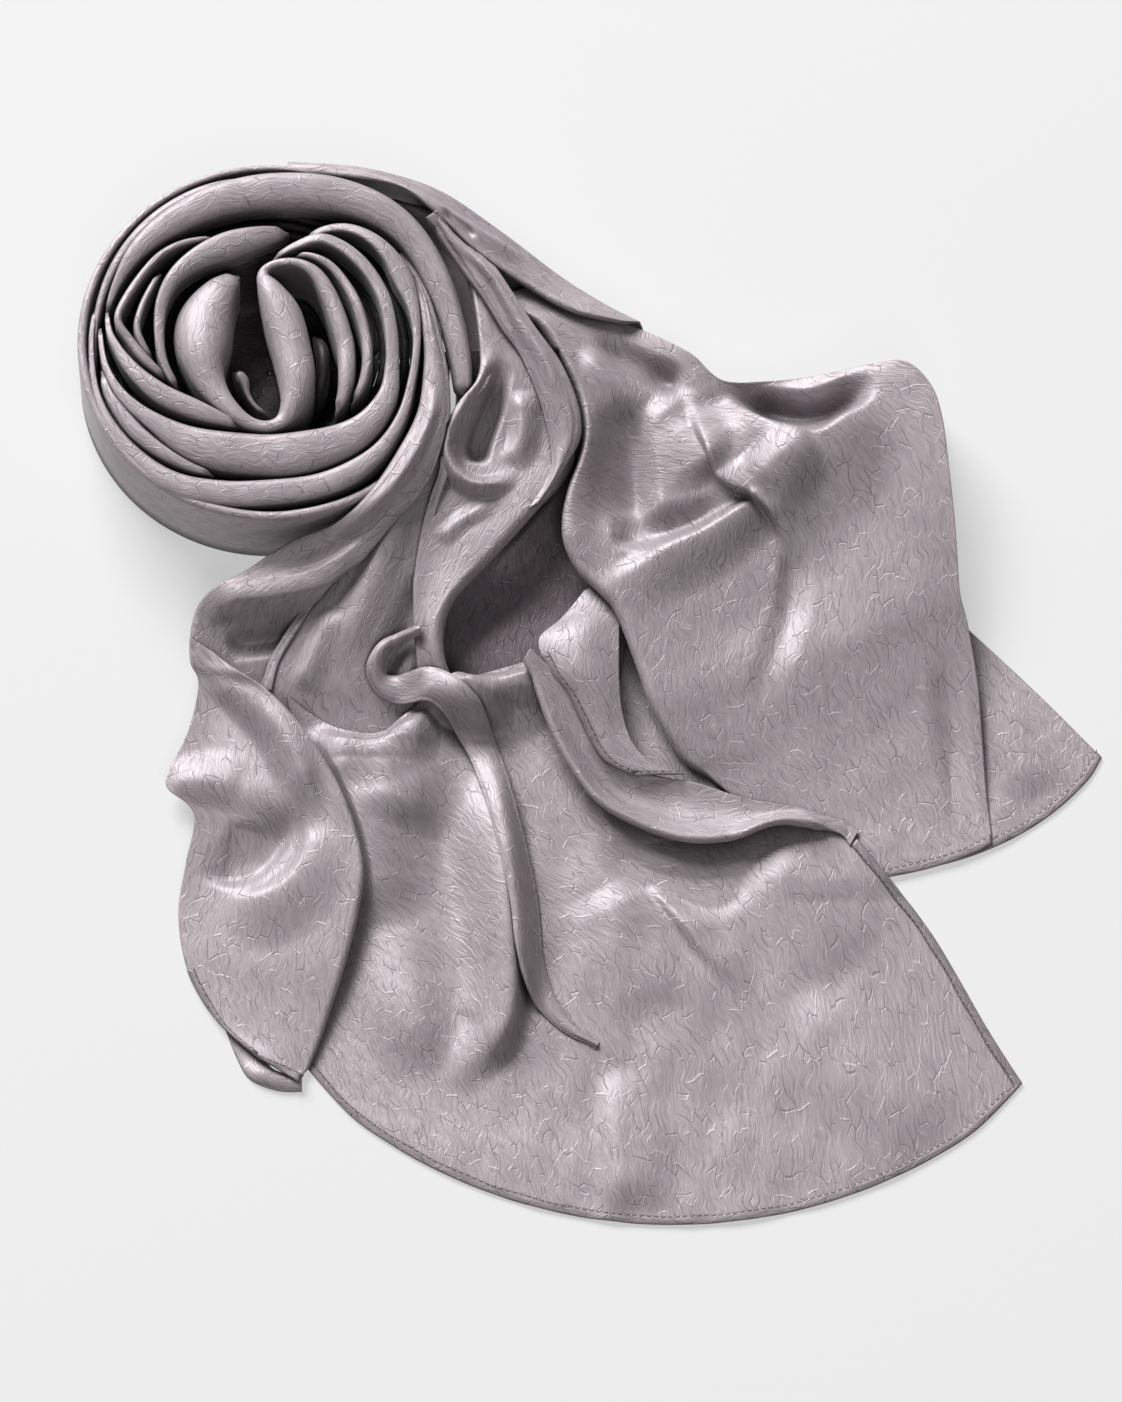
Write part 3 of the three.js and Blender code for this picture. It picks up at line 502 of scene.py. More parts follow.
def satinMaterial(name, look):
    # crinkled polyester satin: long floats give a broad soft gleam along the cloth, and the heat set
    # crinkle breaks it into fine bright ridges and dark grooves, by bump and by a painted highlight on the
    # ridges and painted shade in the grooves
    material, tree = newMaterial(name)
    height = crinkleHeight(tree, look["crinkle"])
    bump = addNode(
        tree, "ShaderNodeBump", {}, {"Strength": look["bump"], "Distance": look["bumpDepth"]},
        [("Height", height, 0)],
    )
    # painted highlight and painted shade: the colour turns lighter on the crinkle's ridges and darker in its
    # grooves
    middle, reach = look["crinkle"]["streakHeight"] / 2, look["tintReach"]
    groove, ridge = [
        addNode(tree, "ShaderNodeMapRange", {}, {"From Min": start, "From Max": stop}, [("Value", height, 0)])
        for start, stop in ((middle - reach, middle), (middle, middle + reach))
    ]
    low = addNode(
        tree, "ShaderNodeMix", colourMix, {6: hexColour(look["grooveShadeColour"]), 7: hexColour(look["colour"])},
        [(0, groove, 0)],
    )
    colour = addNode(
        tree, "ShaderNodeMix", colourMix, {7: hexColour(look["ridgeHighlightColour"])}, [(0, ridge, 0), (6, low, 2)]
    )
    # painted shade: folds shut out the light of the room, so the base colour is darkened towards the bottom
    # of a gap
    openness = addNode(tree, "ShaderNodeAmbientOcclusion", {"samples": 4}, {"Distance": look["hollowReach"]})
    shut, wide = look["hollowOpen"]
    shade = addNode(
        tree, "ShaderNodeMapRange", {},
        {"From Min": shut, "From Max": wide, "To Min": 1 - look["hollowShade"]}, [("Value", openness, "AO")],
    )
    shaded = addNode(
        tree, "ShaderNodeMix", {**colourMix, "blend_type": "MULTIPLY"}, {0: 1.0},
        [(6, colour, 2), (7, shade, 0)],
    )
    along = addNode(tree, "ShaderNodeTangent", {"direction_type": "UV_MAP", "uv_map": "clothMetres"})
    shader = addNode(
        tree, "ShaderNodeBsdfPrincipled", {"distribution": "MULTI_GGX"},
        {
            "Metallic": look["metallic"],
            "Roughness": look["roughness"],
            "Anisotropic": look["anisotropy"],
            "Sheen Weight": look["sheen"],
            "Sheen Roughness": look["sheenRoughness"],
            "IOR": look["ior"],
        },
        [("Base Color", shaded, 2), ("Normal", bump, "Normal"), ("Tangent", along, "Tangent")],
    )
    addNode(tree, "ShaderNodeOutputMaterial", {}, {}, [("Surface", shader, "BSDF")])
    return material


def tintedSatin(name, ridge, middle, groove):
    # ridge and groove are the colours of the painted highlight on the crinkle's ridges and the painted shade
    # in its grooves
    colours = {"ridgeHighlightColour": ridge, "colour": middle, "grooveShadeColour": groove}
    return satinMaterial(name, {**crinkledSatinLook, **colours})


crinkledSatin = satinMaterial("crinkled satin", crinkledSatinLook)
# the same satin where little light gets in: almost black between the turns, so that the roll looks deep
shadedSatin = tintedSatin("satin deep inside the roll", "#5c5558", "#4c4649", "#3f3a3c")
# the same satin in half shade: a dark grey bed, against which the folds above it stand out
hollowSatin = tintedSatin("satin under the standing folds", "#83797e", "#72686d", "#60585c")
# three layers of the same satin pressed together: a slightly darker, flatter line along each cut edge
hemSatin = tintedSatin("turned hem satin", "#948b8f", "#857d81", "#6f686b")

threadLook = {"colour": "#57504f", "roughness": 0.6, "twist": 0.8, "bump": 0.4, "bumpDepth": 0.0001}


def threadMaterial():
    # polyester sewing thread: darker than the satin, dull, with a faint twist
    material, tree = newMaterial("hem thread")
    place = addNode(tree, "ShaderNodeTexCoord")
    twist = addNode(
        tree, "ShaderNodeTexNoise", {}, noiseOf(threadLook["twist"], 1.0), [("Vector", place, "Object")]
    )
    bump = addNode(
        tree, "ShaderNodeBump", {}, {"Strength": threadLook["bump"], "Distance": threadLook["bumpDepth"]},
        [("Height", twist, "Fac")],
    )
    shader = addNode(
        tree, "ShaderNodeBsdfPrincipled", {},
        {"Base Color": hexColour(threadLook["colour"]), "Roughness": threadLook["roughness"]},
        [("Normal", bump, "Normal")],
    )
    addNode(tree, "ShaderNodeOutputMaterial", {}, {}, [("Surface", shader, "BSDF")])
    return material


hemThread = threadMaterial()
print("materials made")

# the rolled end: bands of cloth standing on edge, each with its top folded over

bandShape = {
    "base": 42.3,  # bands stand on the hidden turns of the roll
    "step": 1.9,
    "columns": 30,
    "upright": 0.24,  # share of the section that stands upright on each side
    "tips": (6, 6),  # how far the two ends take to narrow
    "tipWidth": 0.25,
    "tipDip": 4.0,
    "thinnest": 1.8,
    "lowest": 2.5,
    "thinnestTip": 1.7,
    "mostCrown": 0.8,  # share of a band's height that its rounded top may take
    "footDraw": 0.08,
    "ripple": 0.5,
    "rippleWave": 38.0,
    "pathSteps": 400,
    "fewestRows": 24,
    "seedShift": (0.137, 0.233),  # moves the crinkle from band to band, in metres for each seed
}
declared = {}


def addSheet(name, grid, satin, uv, held, restsOn, nodes, flip=False):
    piece = shellPiece(name, grid, satin, cloth["wall"], uv, flip)
    declared[name] = {
        "piece": piece, "grid": grid, "held": held, "restsOn": restsOn, "nodes": nodes, "with": [],
    }


def aroundRoll(radius, angle):
    return rollMiddle[0] + radius * np.cos(angle), rollMiddle[1] + radius * np.sin(angle)


def arcPath(radius, start, stop, count):
    return [aroundRoll(radius, angle) for angle in np.radians(np.linspace(start, stop, count))]


def bandGrid(band):
    # path is the band's middle seen from above; width and top are its size and height along the path
    fine = np.linspace(0, 1, bandShape["pathSteps"])
    lengths = lengthAlong(curveAt(band["path"], fine))
    rows = max(bandShape["fewestRows"], int(lengths[-1] / band.get("step", bandShape["step"])))
    t = np.interp(np.linspace(0, lengths[-1], rows), lengths, fine)
    middle = curveAt(band["path"], t)
    leftward = leftOf(middle)
    run = np.linspace(0, lengths[-1], rows)
    ripple = softNoise(run, run * 0, band["seed"], bandShape["rippleWave"])
    width = np.maximum(curveAt(band["width"], t)[:, 0], bandShape["thinnest"])
    start, stop = band.get("tips", bandShape["tips"])
    taper = easeStep(run / start) * easeStep((lengths[-1] - run) / stop)
    tipWidth = bandShape["tipWidth"]
    half = np.maximum(width * (tipWidth + (1 - tipWidth) * taper), bandShape["thinnestTip"]) / 2
    base = band.get("base", bandShape["base"])
    top = curveAt(band["top"], t)[:, 0] - (1 - taper) * bandShape["tipDip"] + bandShape["ripple"] * ripple
    top = np.maximum(top, base + bandShape["lowest"])
    crown = np.minimum(half * band.get("crown", 1.0), (top - base) * bandShape["mostCrown"])
    peak = band.get("peak", 0.0)
    upright = bandShape["upright"]
    columns = []
    for s in np.linspace(1, -1, band.get("columns", bandShape["columns"])):
        over = min(abs(s) / (1 - upright), 1.0)
        down = max(abs(s) - (1 - upright), 0) / upright
        across = math.copysign(math.sin(over * math.pi / 2), s)
        away = (across - peak) / ((1 - peak) if across > peak else (1 + peak))
        fall = 1 - math.sqrt(max(1 - min(abs(away), 1.0) ** 2, 0.0))
        height = (top - crown * fall) * (1 - down) + base * down
        spot = middle + leftward * (half * across * (1 - bandShape["footDraw"] * down))[:, None]
        columns.append(np.concatenate([spot, height[:, None]], axis=1))
    return np.stack(columns, axis=1)


# Paths run with the cloth; peak is where a band's crest lies, from -1 at its right to 1 at its left.
bands = [
    {
        "name": "outerWall", "nodes": ["coil_outer_wall", "coil_back_wall"], "seed": 3, "base": 0.9,
        "columns": 26, "tips": (2, 10), "on": [],
        "path": arcPath(102.6, 58, 312, 31),
        "width": [3.0, 3.4, 4.0, 4.6, 5.0, 5.4, 5.6, 5.6, 5.2],
        "top": [57, 58.5, 58.5, 59, 60, 60.5, 60, 58, 54],
    },
    {
        "name": "outerTurn", "nodes": ["coil_rim_1", "coil_loop_4"], "seed": 7, "columns": 26, "peak": 0.45,
        "crown": 0.7,
        "path": [(-271, 215), (-273.4, 194.6), (-270.5, 165.4), (-260.5, 142), (-243.6, 122.4),
            (-224.4, 109.7), (-199.6, 105), (-174.9, 105.6), (-150.2, 109.4), (-129.8, 117.6),
            (-113.6, 131.5), (-102.4, 150.8), (-96.8, 172.4), (-94.3, 194.6), (-96.3, 213.4),
            (-102.3, 230.9), (-110, 245), (-121, 255.5), (-133.7, 260.8), (-146.3, 259.6), (-156.8, 254.3)],
        "width": [3, 3, 4, 7, 10, 13.5, 14.6, 14.6, 13.6, 12.4, 9, 6, 4.4, 4.4, 7, 12, 9.5, 7, 5.5, 4.6,
            3.4],
        "top": [58, 59, 60, 61, 62, 63, 63, 63, 62, 62, 60, 60, 60, 60, 61, 62, 63, 63, 62, 61, 58],
    },
    {
        "name": "pointedTurn", "nodes": ["coil_rim_2"], "seed": 11, "peak": 0.5, "crown": 1.0,
        "tips": (8, 5),
        "path": [(-267.3, 178), (-263.4, 162.5), (-250.2, 142.6), (-234.8, 128.8), (-219.4, 119.8),
            (-205.7, 115.8)],
        "width": [2.6, 5, 8.6, 7.6, 5, 2.6],
        "top": [60, 63, 65, 65, 64, 61],
    },
    {
        "name": "frontTurn", "nodes": ["coil_front_band", "coil_loop_3"], "seed": 19, "columns": 28,
        "peak": 0.55, "crown": 0.75,
        "path": [(-268.8, 203), (-265.6, 180), (-255.6, 160.8), (-238.2, 145.5), (-213.4, 131.8),
            (-180.4, 127.4), (-158.4, 128.5), (-135.3, 135.6), (-119.9, 146.1), (-110, 162.5),
            (-107.8, 180), (-108.4, 197.6), (-111.7, 215.1), (-117.7, 228.6), (-126.5, 240.3),
            (-137.5, 249.1), (-148.5, 252.6), (-160, 249.1), (-169, 244.4), (-174.5, 240.6)],
        "width": [2.6, 3.6, 6.4, 11, 21.5, 24, 24.4, 20.5, 15.5, 11, 8, 7.5, 7.5, 7.5, 7.5, 7, 6, 4.6, 3,
            2.2],
        "top": [60, 62, 64, 65, 66, 66, 66, 65, 65, 64, 64, 65, 66, 66, 67, 67, 67, 66, 65, 62],
    },
    {
        "name": "tuckedTurn", "nodes": ["coil_rim_3"], "seed": 13, "peak": 0.5, "crown": 0.8,
        "path": [(-265, 212), (-262.4, 196), (-251.4, 177.3), (-235.9, 162.6), (-217.2, 153.2),
            (-200.7, 146.9), (-189.6, 143.6)],
        "width": [2.4, 4, 8, 11.5, 11.5, 7, 3],
        "top": [61, 64, 66, 67, 67, 65, 61],
    },
    {
        "name": "backTurn", "nodes": ["coil_back_band", "coil_right_band"], "seed": 17, "columns": 28,
        "peak": 0.45, "crown": 0.8,
        "path": [(-265.4, 211), (-259.6, 228), (-249.2, 246.1), (-232.7, 261.9), (-210.7, 274.4),
            (-185.9, 281.6), (-158.4, 283), (-133.7, 279.5), (-111.7, 269.5), (-95.6, 254.3),
            (-83.5, 232.7), (-75.6, 209.3), (-70.6, 185.9), (-68.6, 165.4)],
        "width": [2.4, 5.5, 11, 16, 19, 20.5, 20.5, 19, 17, 15.5, 14.5, 13, 10],
        "top": [58, 62, 65, 66, 66.5, 67, 66.5, 65, 63, 61, 58, 55, 51],
    },
    {
        "name": "sideTurn", "nodes": ["coil_back_wall"], "seed": 21, "crown": 1.0,
        "path": arcPath(95.6, 80, 188, 21),
        "width": [2.2, 4.4, 6.2, 6.6, 6.2, 5, 3.4, 2.2],
        "top": [54, 58, 61, 62, 61, 60, 58, 54],
    },
    {
        "name": "innerRing", "nodes": ["coil_core_loop"], "seed": 23, "columns": 22, "peak": 0.55,
        "crown": 0.9,
        "path": [(-225.4, 166), (-233.4, 181), (-236, 198), (-234.6, 216), (-227.3, 231.5), (-213.5, 243.4),
            (-196.9, 251.2), (-179.3, 256.9), (-165.2, 260.6)],
        "width": [4, 5, 5.6, 7, 9, 13, 16, 12, 6],
        "top": [60, 63, 64, 65, 66, 66, 65, 62, 56],
    },
    {
        "name": "leftPleat", "nodes": ["coil_left_pleat"], "seed": 29, "crown": 1.2,
        "path": [(-205.2, 255.8), (-221.7, 252), (-235.3, 244), (-246.8, 230.2), (-255.8, 214.4),
            (-258.6, 203.8), (-252.8, 193.8), (-243.4, 181.6), (-231.5, 171.4)],
        "width": [3, 3.6, 4, 4.4, 4.4, 4, 5, 6, 3.4],
        "top": [60, 63, 65, 66, 67, 68, 67, 66, 61],
    },
    {
        "name": "leftLayer", "nodes": ["coil_left_layer"], "seed": 31, "crown": 1.2,
        "path": [(-235.6, 234.6), (-240.6, 225), (-245.8, 212.4), (-248.2, 200.4), (-244.8, 190.4),
            (-238.8, 182)],
        "width": [2.8, 3.4, 3.6, 4, 4, 2.8],
        "top": [62, 64, 66, 66, 65, 61],
    },
    {
        "name": "secondLoop", "nodes": ["coil_loop_2"], "seed": 43, "crown": 1.1, "peak": 0.2, "base": 20,
        "path": [(-163.2, 243.4), (-154, 243), (-143.7, 238.2), (-135.6, 229.2), (-127.9, 215),
            (-122.9, 198), (-121.3, 183), (-123.6, 169.5), (-129.8, 157.8)],
        "width": [2.4, 3.2, 4.6, 5.2, 5.8, 6, 6, 5.4, 3.6],
        "top": [63, 66, 67, 67, 67, 66, 66, 64, 60],
    },
    {
        "name": "coreTurn", "nodes": ["coil_core_fold", "coil_loop_1"], "seed": 53, "columns": 34,
        "crown": 0.85, "base": 14.0, "tips": (5, 6), "step": 1.5, "peak": 0.05,
        "path": [(-192.5, 234.7), (-202.5, 224.1), (-210.4, 208), (-212.6, 191.7), (-210.4, 176.3),
            (-204.4, 162.8), (-195.4, 151.8), (-185.9, 144.9), (-176, 142.9), (-167.4, 147),
            (-161.6, 158.4), (-160, 172.4), (-163.4, 191.7), (-168.4, 209.3), (-174.8, 222.6),
            (-179, 231.2), (-175.8, 236.6), (-167.4, 238.8), (-158.1, 237.6), (-149.8, 231.9),
            (-143.2, 221), (-137.7, 206.4), (-133.3, 190), (-132.7, 174.2), (-134.4, 162.5),
            (-138.5, 152.4)],
        "width": [7, 20, 31, 30, 21, 14.5, 10, 7.4, 6.6, 8.4, 15, 20, 21, 21, 14, 7, 4.4, 4.4, 5.2, 7.4, 9,
            10, 10, 9.4, 7, 4],
        "top": [58, 64, 67, 68, 68, 67, 66, 65, 65, 65, 67, 69, 69, 69, 68, 66, 66, 67, 67, 67, 67, 67, 66,
            66, 64, 60],
    },
    {
        "name": "hollowFold", "nodes": ["coil_core_loop"], "seed": 59, "base": 14.0, "crown": 1.1,
        "tips": (4, 6),
        "path": [(-196, 180.7), (-190.4, 176.8), (-187.6, 168.9), (-182.5, 161.7), (-174.6, 157.6)],
        "width": [7, 7, 3.4, 3, 2.6],
        "top": [49, 48, 45, 43, 40],
    },
    {
        "name": "deepFold", "shaded": True, "nodes": ["coil_core_loop"], "seed": 61, "base": 14.0,
        "crown": 1.2, "tips": (6, 6),
        "path": [(-151.4, 206), (-146.6, 194.5), (-146.6, 180), (-149.8, 168)],
        "width": [5, 7, 7, 4],
        "top": [40, 47, 46, 38],
    },
]
for band in bands:
    satin = shadedSatin if band.get("shaded") else crinkledSatin
    shift = [band["seed"] * s for s in bandShape["seedShift"]]
    on = band.get("on", ["rollHeart"])
    addSheet(band["name"], bandGrid(band), satin, shift, "folded", on, band["nodes"])

rollHeart = {
    "turns": 7.0, "inner": 58.0, "outer": 97.0, "rows": 760, "uv": (0.3, 0.2),
    # distance out from the middle of the turn, and height
    "section": [(2.4, 0.9), (2.6, 20), (2.4, 38), (1.6, 40.6), (0, 41.4),
        (-1.6, 40.6), (-2.4, 38), (-2.6, 20), (-2.4, 0.9)],
}


def addRollHeart():
    # the layers hidden inside the roll: turn after turn of standing cloth
    t = np.linspace(0, 1, rollHeart["rows"])
    angle = t * rollHeart["turns"] * 2 * math.pi
    radius = rollHeart["inner"] + (rollHeart["outer"] - rollHeart["inner"]) * t
    columns = []
    for offset, height in rollHeart["section"]:
        x, y = aroundRoll(radius + offset, angle)
        columns.append(np.stack([x, y, np.full(len(t), float(height))], axis=1))
    grid = np.stack(columns, axis=1)
    addSheet("rollHeart", grid, shadedSatin, rollHeart["uv"], "folded", [], ["coil_layers"], flip=True)


addRollHeart()

rollHollow = {
    "radius": 61.0, "floor": 8.0, "rim": 40.0, "slope": 0.6, "uv": (0.1, 0.2),
    "wave": 1.2, "lobes": 3, "twist": 5,  # soft waves of the cloth on its floor
    "rows": 97, "columns": 24, "start": 0.006,
}


def addRollHollow():
    # the start of the roll, seen deep between the folds in its middle
    angle = np.linspace(0, 2 * math.pi, rollHollow["rows"])
    slope = rollHollow["slope"]
    columns = []
    for share in np.linspace(rollHollow["start"], 1, rollHollow["columns"]):
        rise = easeStep((share - slope) / (1 - slope))
        height = rollHollow["floor"] + (rollHollow["rim"] - rollHollow["floor"]) * rise
        wave = rollHollow["wave"] * np.cos(rollHollow["lobes"] * angle + rollHollow["twist"] * share)
        height = height - wave * share * (1 - share) * 4
        x, y = aroundRoll(rollHollow["radius"] * share, angle)
        columns.append(np.stack([x, y, height], axis=1))
    grid = np.stack(columns, axis=1)
    on = ["rollHeart"]
    addSheet("rollHollow", grid, shadedSatin, rollHollow["uv"], "folded", on, ["coil_layers"], flip=True)


addRollHollow()
print("rolled end made")

# the swept and fanned end, lowest stretches first

# A row is a section across the cloth, from its left edge to its right edge, seen along the cloth as it
# leaves the roll: row(left, right, rest, sag). rest is how high its two edges are held (0: they lie on
# what is below), sag how far the middle hangs under that, puff the height of the soft arch across it,
# and bow pushes the middle of a row along the cloth. bentRow gives the whole line of a row instead of
# its two ends. Rows lead from the roll outwards. A fold is fold(path, rise, left, right, lean):
# rise is its height (negative for a trough), left and right are its reach on the two sides, and lean
# pushes its top to the right. Values in a list are spaced evenly along the fold.


def ribbonSections(path, widths, puffs):
    # sections square to a path, for a narrow fold
    line = np.array(path, float)
    half = leftOf(line) * np.array(widths)[:, None] / 2
    return [row(p + h, p - h, puff=puff) for p, h, puff in zip(line, half, puffs)]


underCloth = {
    "name": "underCloth", "nodes": ["under_layers"], "seed": 61, "steps": (90, 40), "ripple": 0.4,
    "uv": (0.4, 1.2), "on": [],
    "sections": [
        row((-95, 290), (-128, 286), puff=34),
        row((-56, 279), (-97, 268), puff=34),
        row((-28, 254), (-80, 240), puff=32),
        row((-16, 222), (-75.4, 208), puff=28),
        row((-10, 176), (-75, 170), puff=22),
        row((-20, 120), (-98, 122), puff=14),
        row((-40, 82), (-152, 82), puff=8),
        row((-54, 50), (-180, 50), puff=5),
        row((-70, 28), (-192, 26), puff=3),
        row((-84, -8), (-196, -10), puff=2),
    ],
    "folds": [],
}
lowerLayer = {
    "name": "lowerLayer", "nodes": [], "seed": 63, "steps": (80, 50), "ripple": 0.5, "uv": (0.6, 1.5),
    "on": [],
    "sections": [
        row((60, 150), (-30, 168)),
        row((62, 110), (-40, 120)),
        row((64, 66), (-50, 60)),
        row((66, 30), (-30, 16)),
        row((74, -5), (-10, -18)),
        row((84, -40), (14, -44)),
        row((92, -60), (22, -68)),
    ],
    "folds": [],
}
rightCorner = {
    "name": "rightCorner", "nodes": ["right_corner"], "seed": 67, "steps": (70, 70), "ripple": 0.35,
    "uv": (0.15, 2.3), "on": [], "hem": {"left": None, "right": None},
    "sections": [
        row((208, 48), (160, 42)),
        row((248, 8), (158, 5), bow=4),
        row((281.5, -28), (150, -92), bow=21),
    ],
    "folds": [
        fold([(200, 20), (226, -12), (248, -52)], 3, 22, 22),
    ],
}
rightSweep = {
    "name": "rightSweep", "nodes": ["right_sweep", "right_flap", "right_front"], "seed": 71,
    "steps": (190, 140), "ripple": 0.7, "uv": (0.0, 1.5), "on": [], "hem": {"left": None, "right": None},
    "tuck": {"right": (4.5, 9)}, "drop": {"left": 1.0},
    "sections": [
        row((-24, 240), (-58, 226), (32, 40)),
        row((1, 221.5), (-29.2, 212), (34, 43), 2),
        row((28.6, 213.3), (-15.4, 189.5), (29, 42), 3),
        row((56, 198.5), (-7.2, 172.6), (31, 40), 6),
        row((73.7, 183.5), (-3.3, 150.3), (28, 37), 7),
        row((100, 184), (-5.5, 133.5), (25, 35), 8),
        row((127.6, 186), (-11, 116.7), (29, 33), 8),
        row((155, 189), (-13.8, 99.9), (38, 31), 10),
        row((174.4, 188.7), (-12.1, 85.6), (44, 30), 12),
        row((188, 175.5), (-4.4, 71.3), (45, 29), 13),
        row((194.7, 156.6), (6.6, 60), (44, 28), 14),
        row((198.6, 125.8), (16, 48), (40, 26), 14),
        row((201.9, 92.9), (26, 22), (34, 22.5), 13),
        row((204, 60.7), (34, -1.4), (26, 20), 10),
        row((208.5, 42.4), (42.4, -17.5), (20, 16), 8),
        row((213.4, 12.8), (53.4, -33.3), (13, 11), 5),
        row((215.6, -14.6), (66, -43), (8, 6), 2),
        row((217.8, -48.3), (88, -66), (4, 2.5), 1),
        row((221, -78.5), (112, -100), (1.6, 1.3), bow=8),
    ],
    "folds": [
        # the bright ridge from the rolled edge, and the trough above it
        fold([(4, 52), (39.6, 80.5), (61.6, 92.2), (83.6, 106.8), (98, 118)], [2, 7, 9, 9, 4],
            [14, 12, 10, 8, 6], [26, 26, 26, 22, 16]),
        fold([(12, 92), (30, 95), (56, 104), (78, 116)], [-10, -10, -7, -2], [16, 16, 12, 7],
            [9, 11, 11, 6]),
        fold([(18, 172), (22, 150), (25, 122), (27, 94)], [-3, -9, -14, -12], [14, 15, 16, 16],
            [20, 24, 28, 26]),
        fold([(-8, 176), (-2, 150), (-8, 118), (-8, 92), (4, 70)], [1, 3, 4, 4, 2], 16, 8),
        # the puffed face and the kinked crease that closes it
        fold([(34, 172), (56, 152), (72, 128)], [5, 9, 8], [16, 26, 12], [20, 34, 30]),
        fold([(50, 206), (56, 192), (59, 176), (62, 159), (67, 141), (73, 126.5), (81, 120.7), (89, 117.8),
            (97, 110.8), (103, 103), (109, 91.5), (113, 76)], [1, 2, 3, 4, 7, 10, 11, 11, 11, 11, 8, 1],
            [20, 20, 20, 22, 26, 30, 34, 40, 40, 36, 28, 18],
            [12, 11, 10, 8, 4, 2.6, 2.6, 2.6, 2.6, 3, 7, 14], [0, 0, 0, 1, 2, 2.6, 2.6, 2.6, 2.6, 2, 1, 0]),
        fold([(2, 206), (26, 194), (42, 186), (54, 183)], [-4, -7, -10, -3], [8, 10, 11, 8],
            [9, 12, 13, 9]),
        fold([(-3, 200), (8, 184), (20, 172), (34, 160)], [3, 5, 4, 1], 12, [8, 12, 14, 14]),
        # the pocket behind the front rim, and the high corner
        fold([(80, 180), (100, 170), (122, 166), (142, 172), (158, 181)], [-5, -16, -18, -14, -4],
            [8, 12, 13, 12, 8], [10, 14, 15, 14, 10]),
        fold([(66, 184), (83.6, 166), (102.9, 153), (124.9, 147.5), (143, 158), (164, 175)],
            [3, 9, 12, 13, 11, 5], [6, 7, 7, 7, 8, 10], [20, 34, 44, 52, 44, 30]),
        fold([(124, 146), (108, 134), (92, 121)], [5, 7, 3], [24, 26, 20], [20, 22, 16]),
        # the soft trough and band across the lower half
        fold([(112, 98), (112, 74), (110, 50), (100, 22), (90, -4)], [-2, -4, -4, -2, -1],
            [10, 13, 14, 14, 12], [8, 10, 12, 12, 10]),
        fold([(196, 78), (160, 50), (124, 20), (92, -12)], [1, 2.5, 2.5, 1], [44, 56, 56, 44],
            [40, 50, 50, 40]),
        fold([(194, 34), (200, -10), (205, -45), (209, -72)], [-1, -4, -3.5, -2], 9, [10, 16, 14, 10]),
    ],
}
backSweep = {
    "name": "backSweep", "nodes": ["back_sweep"], "seed": 72, "steps": (120, 34), "ripple": 0.5,
    "uv": (0.2, 1.1), "on": ["underCloth", "rightSweep"], "tuck": {"right": (2.5, 6)}, "drop": {"left": 3},
    "sections": [
        row((-166, 300.6), (-166, 296), (56, 57)),
        row((-142, 300.2), (-142, 292.6), (57, 59)),
        row((-114.4, 296), (-106, 286), (57, 60)),
        row((-81.4, 285.7), (-82, 268), (53, 58)),
        row((-48.4, 265.2), (-59, 247), (45, 53)),
        row((-15.4, 242), (-34.7, 232.5), (36, 46)),
        row((9.4, 226.1), (-8.8, 218.6), (34, 43)),
        row((28.6, 216.5), (18, 214.6), (32, 37)),
    ],
    "folds": [
        fold([(-112, 291), (-90, 279), (-60, 262), (-34, 248)], [1, 3, 4, 3], 4, 9),
        fold([(-80, 272), (-62, 258)], -3, 4, 4),
    ],
}
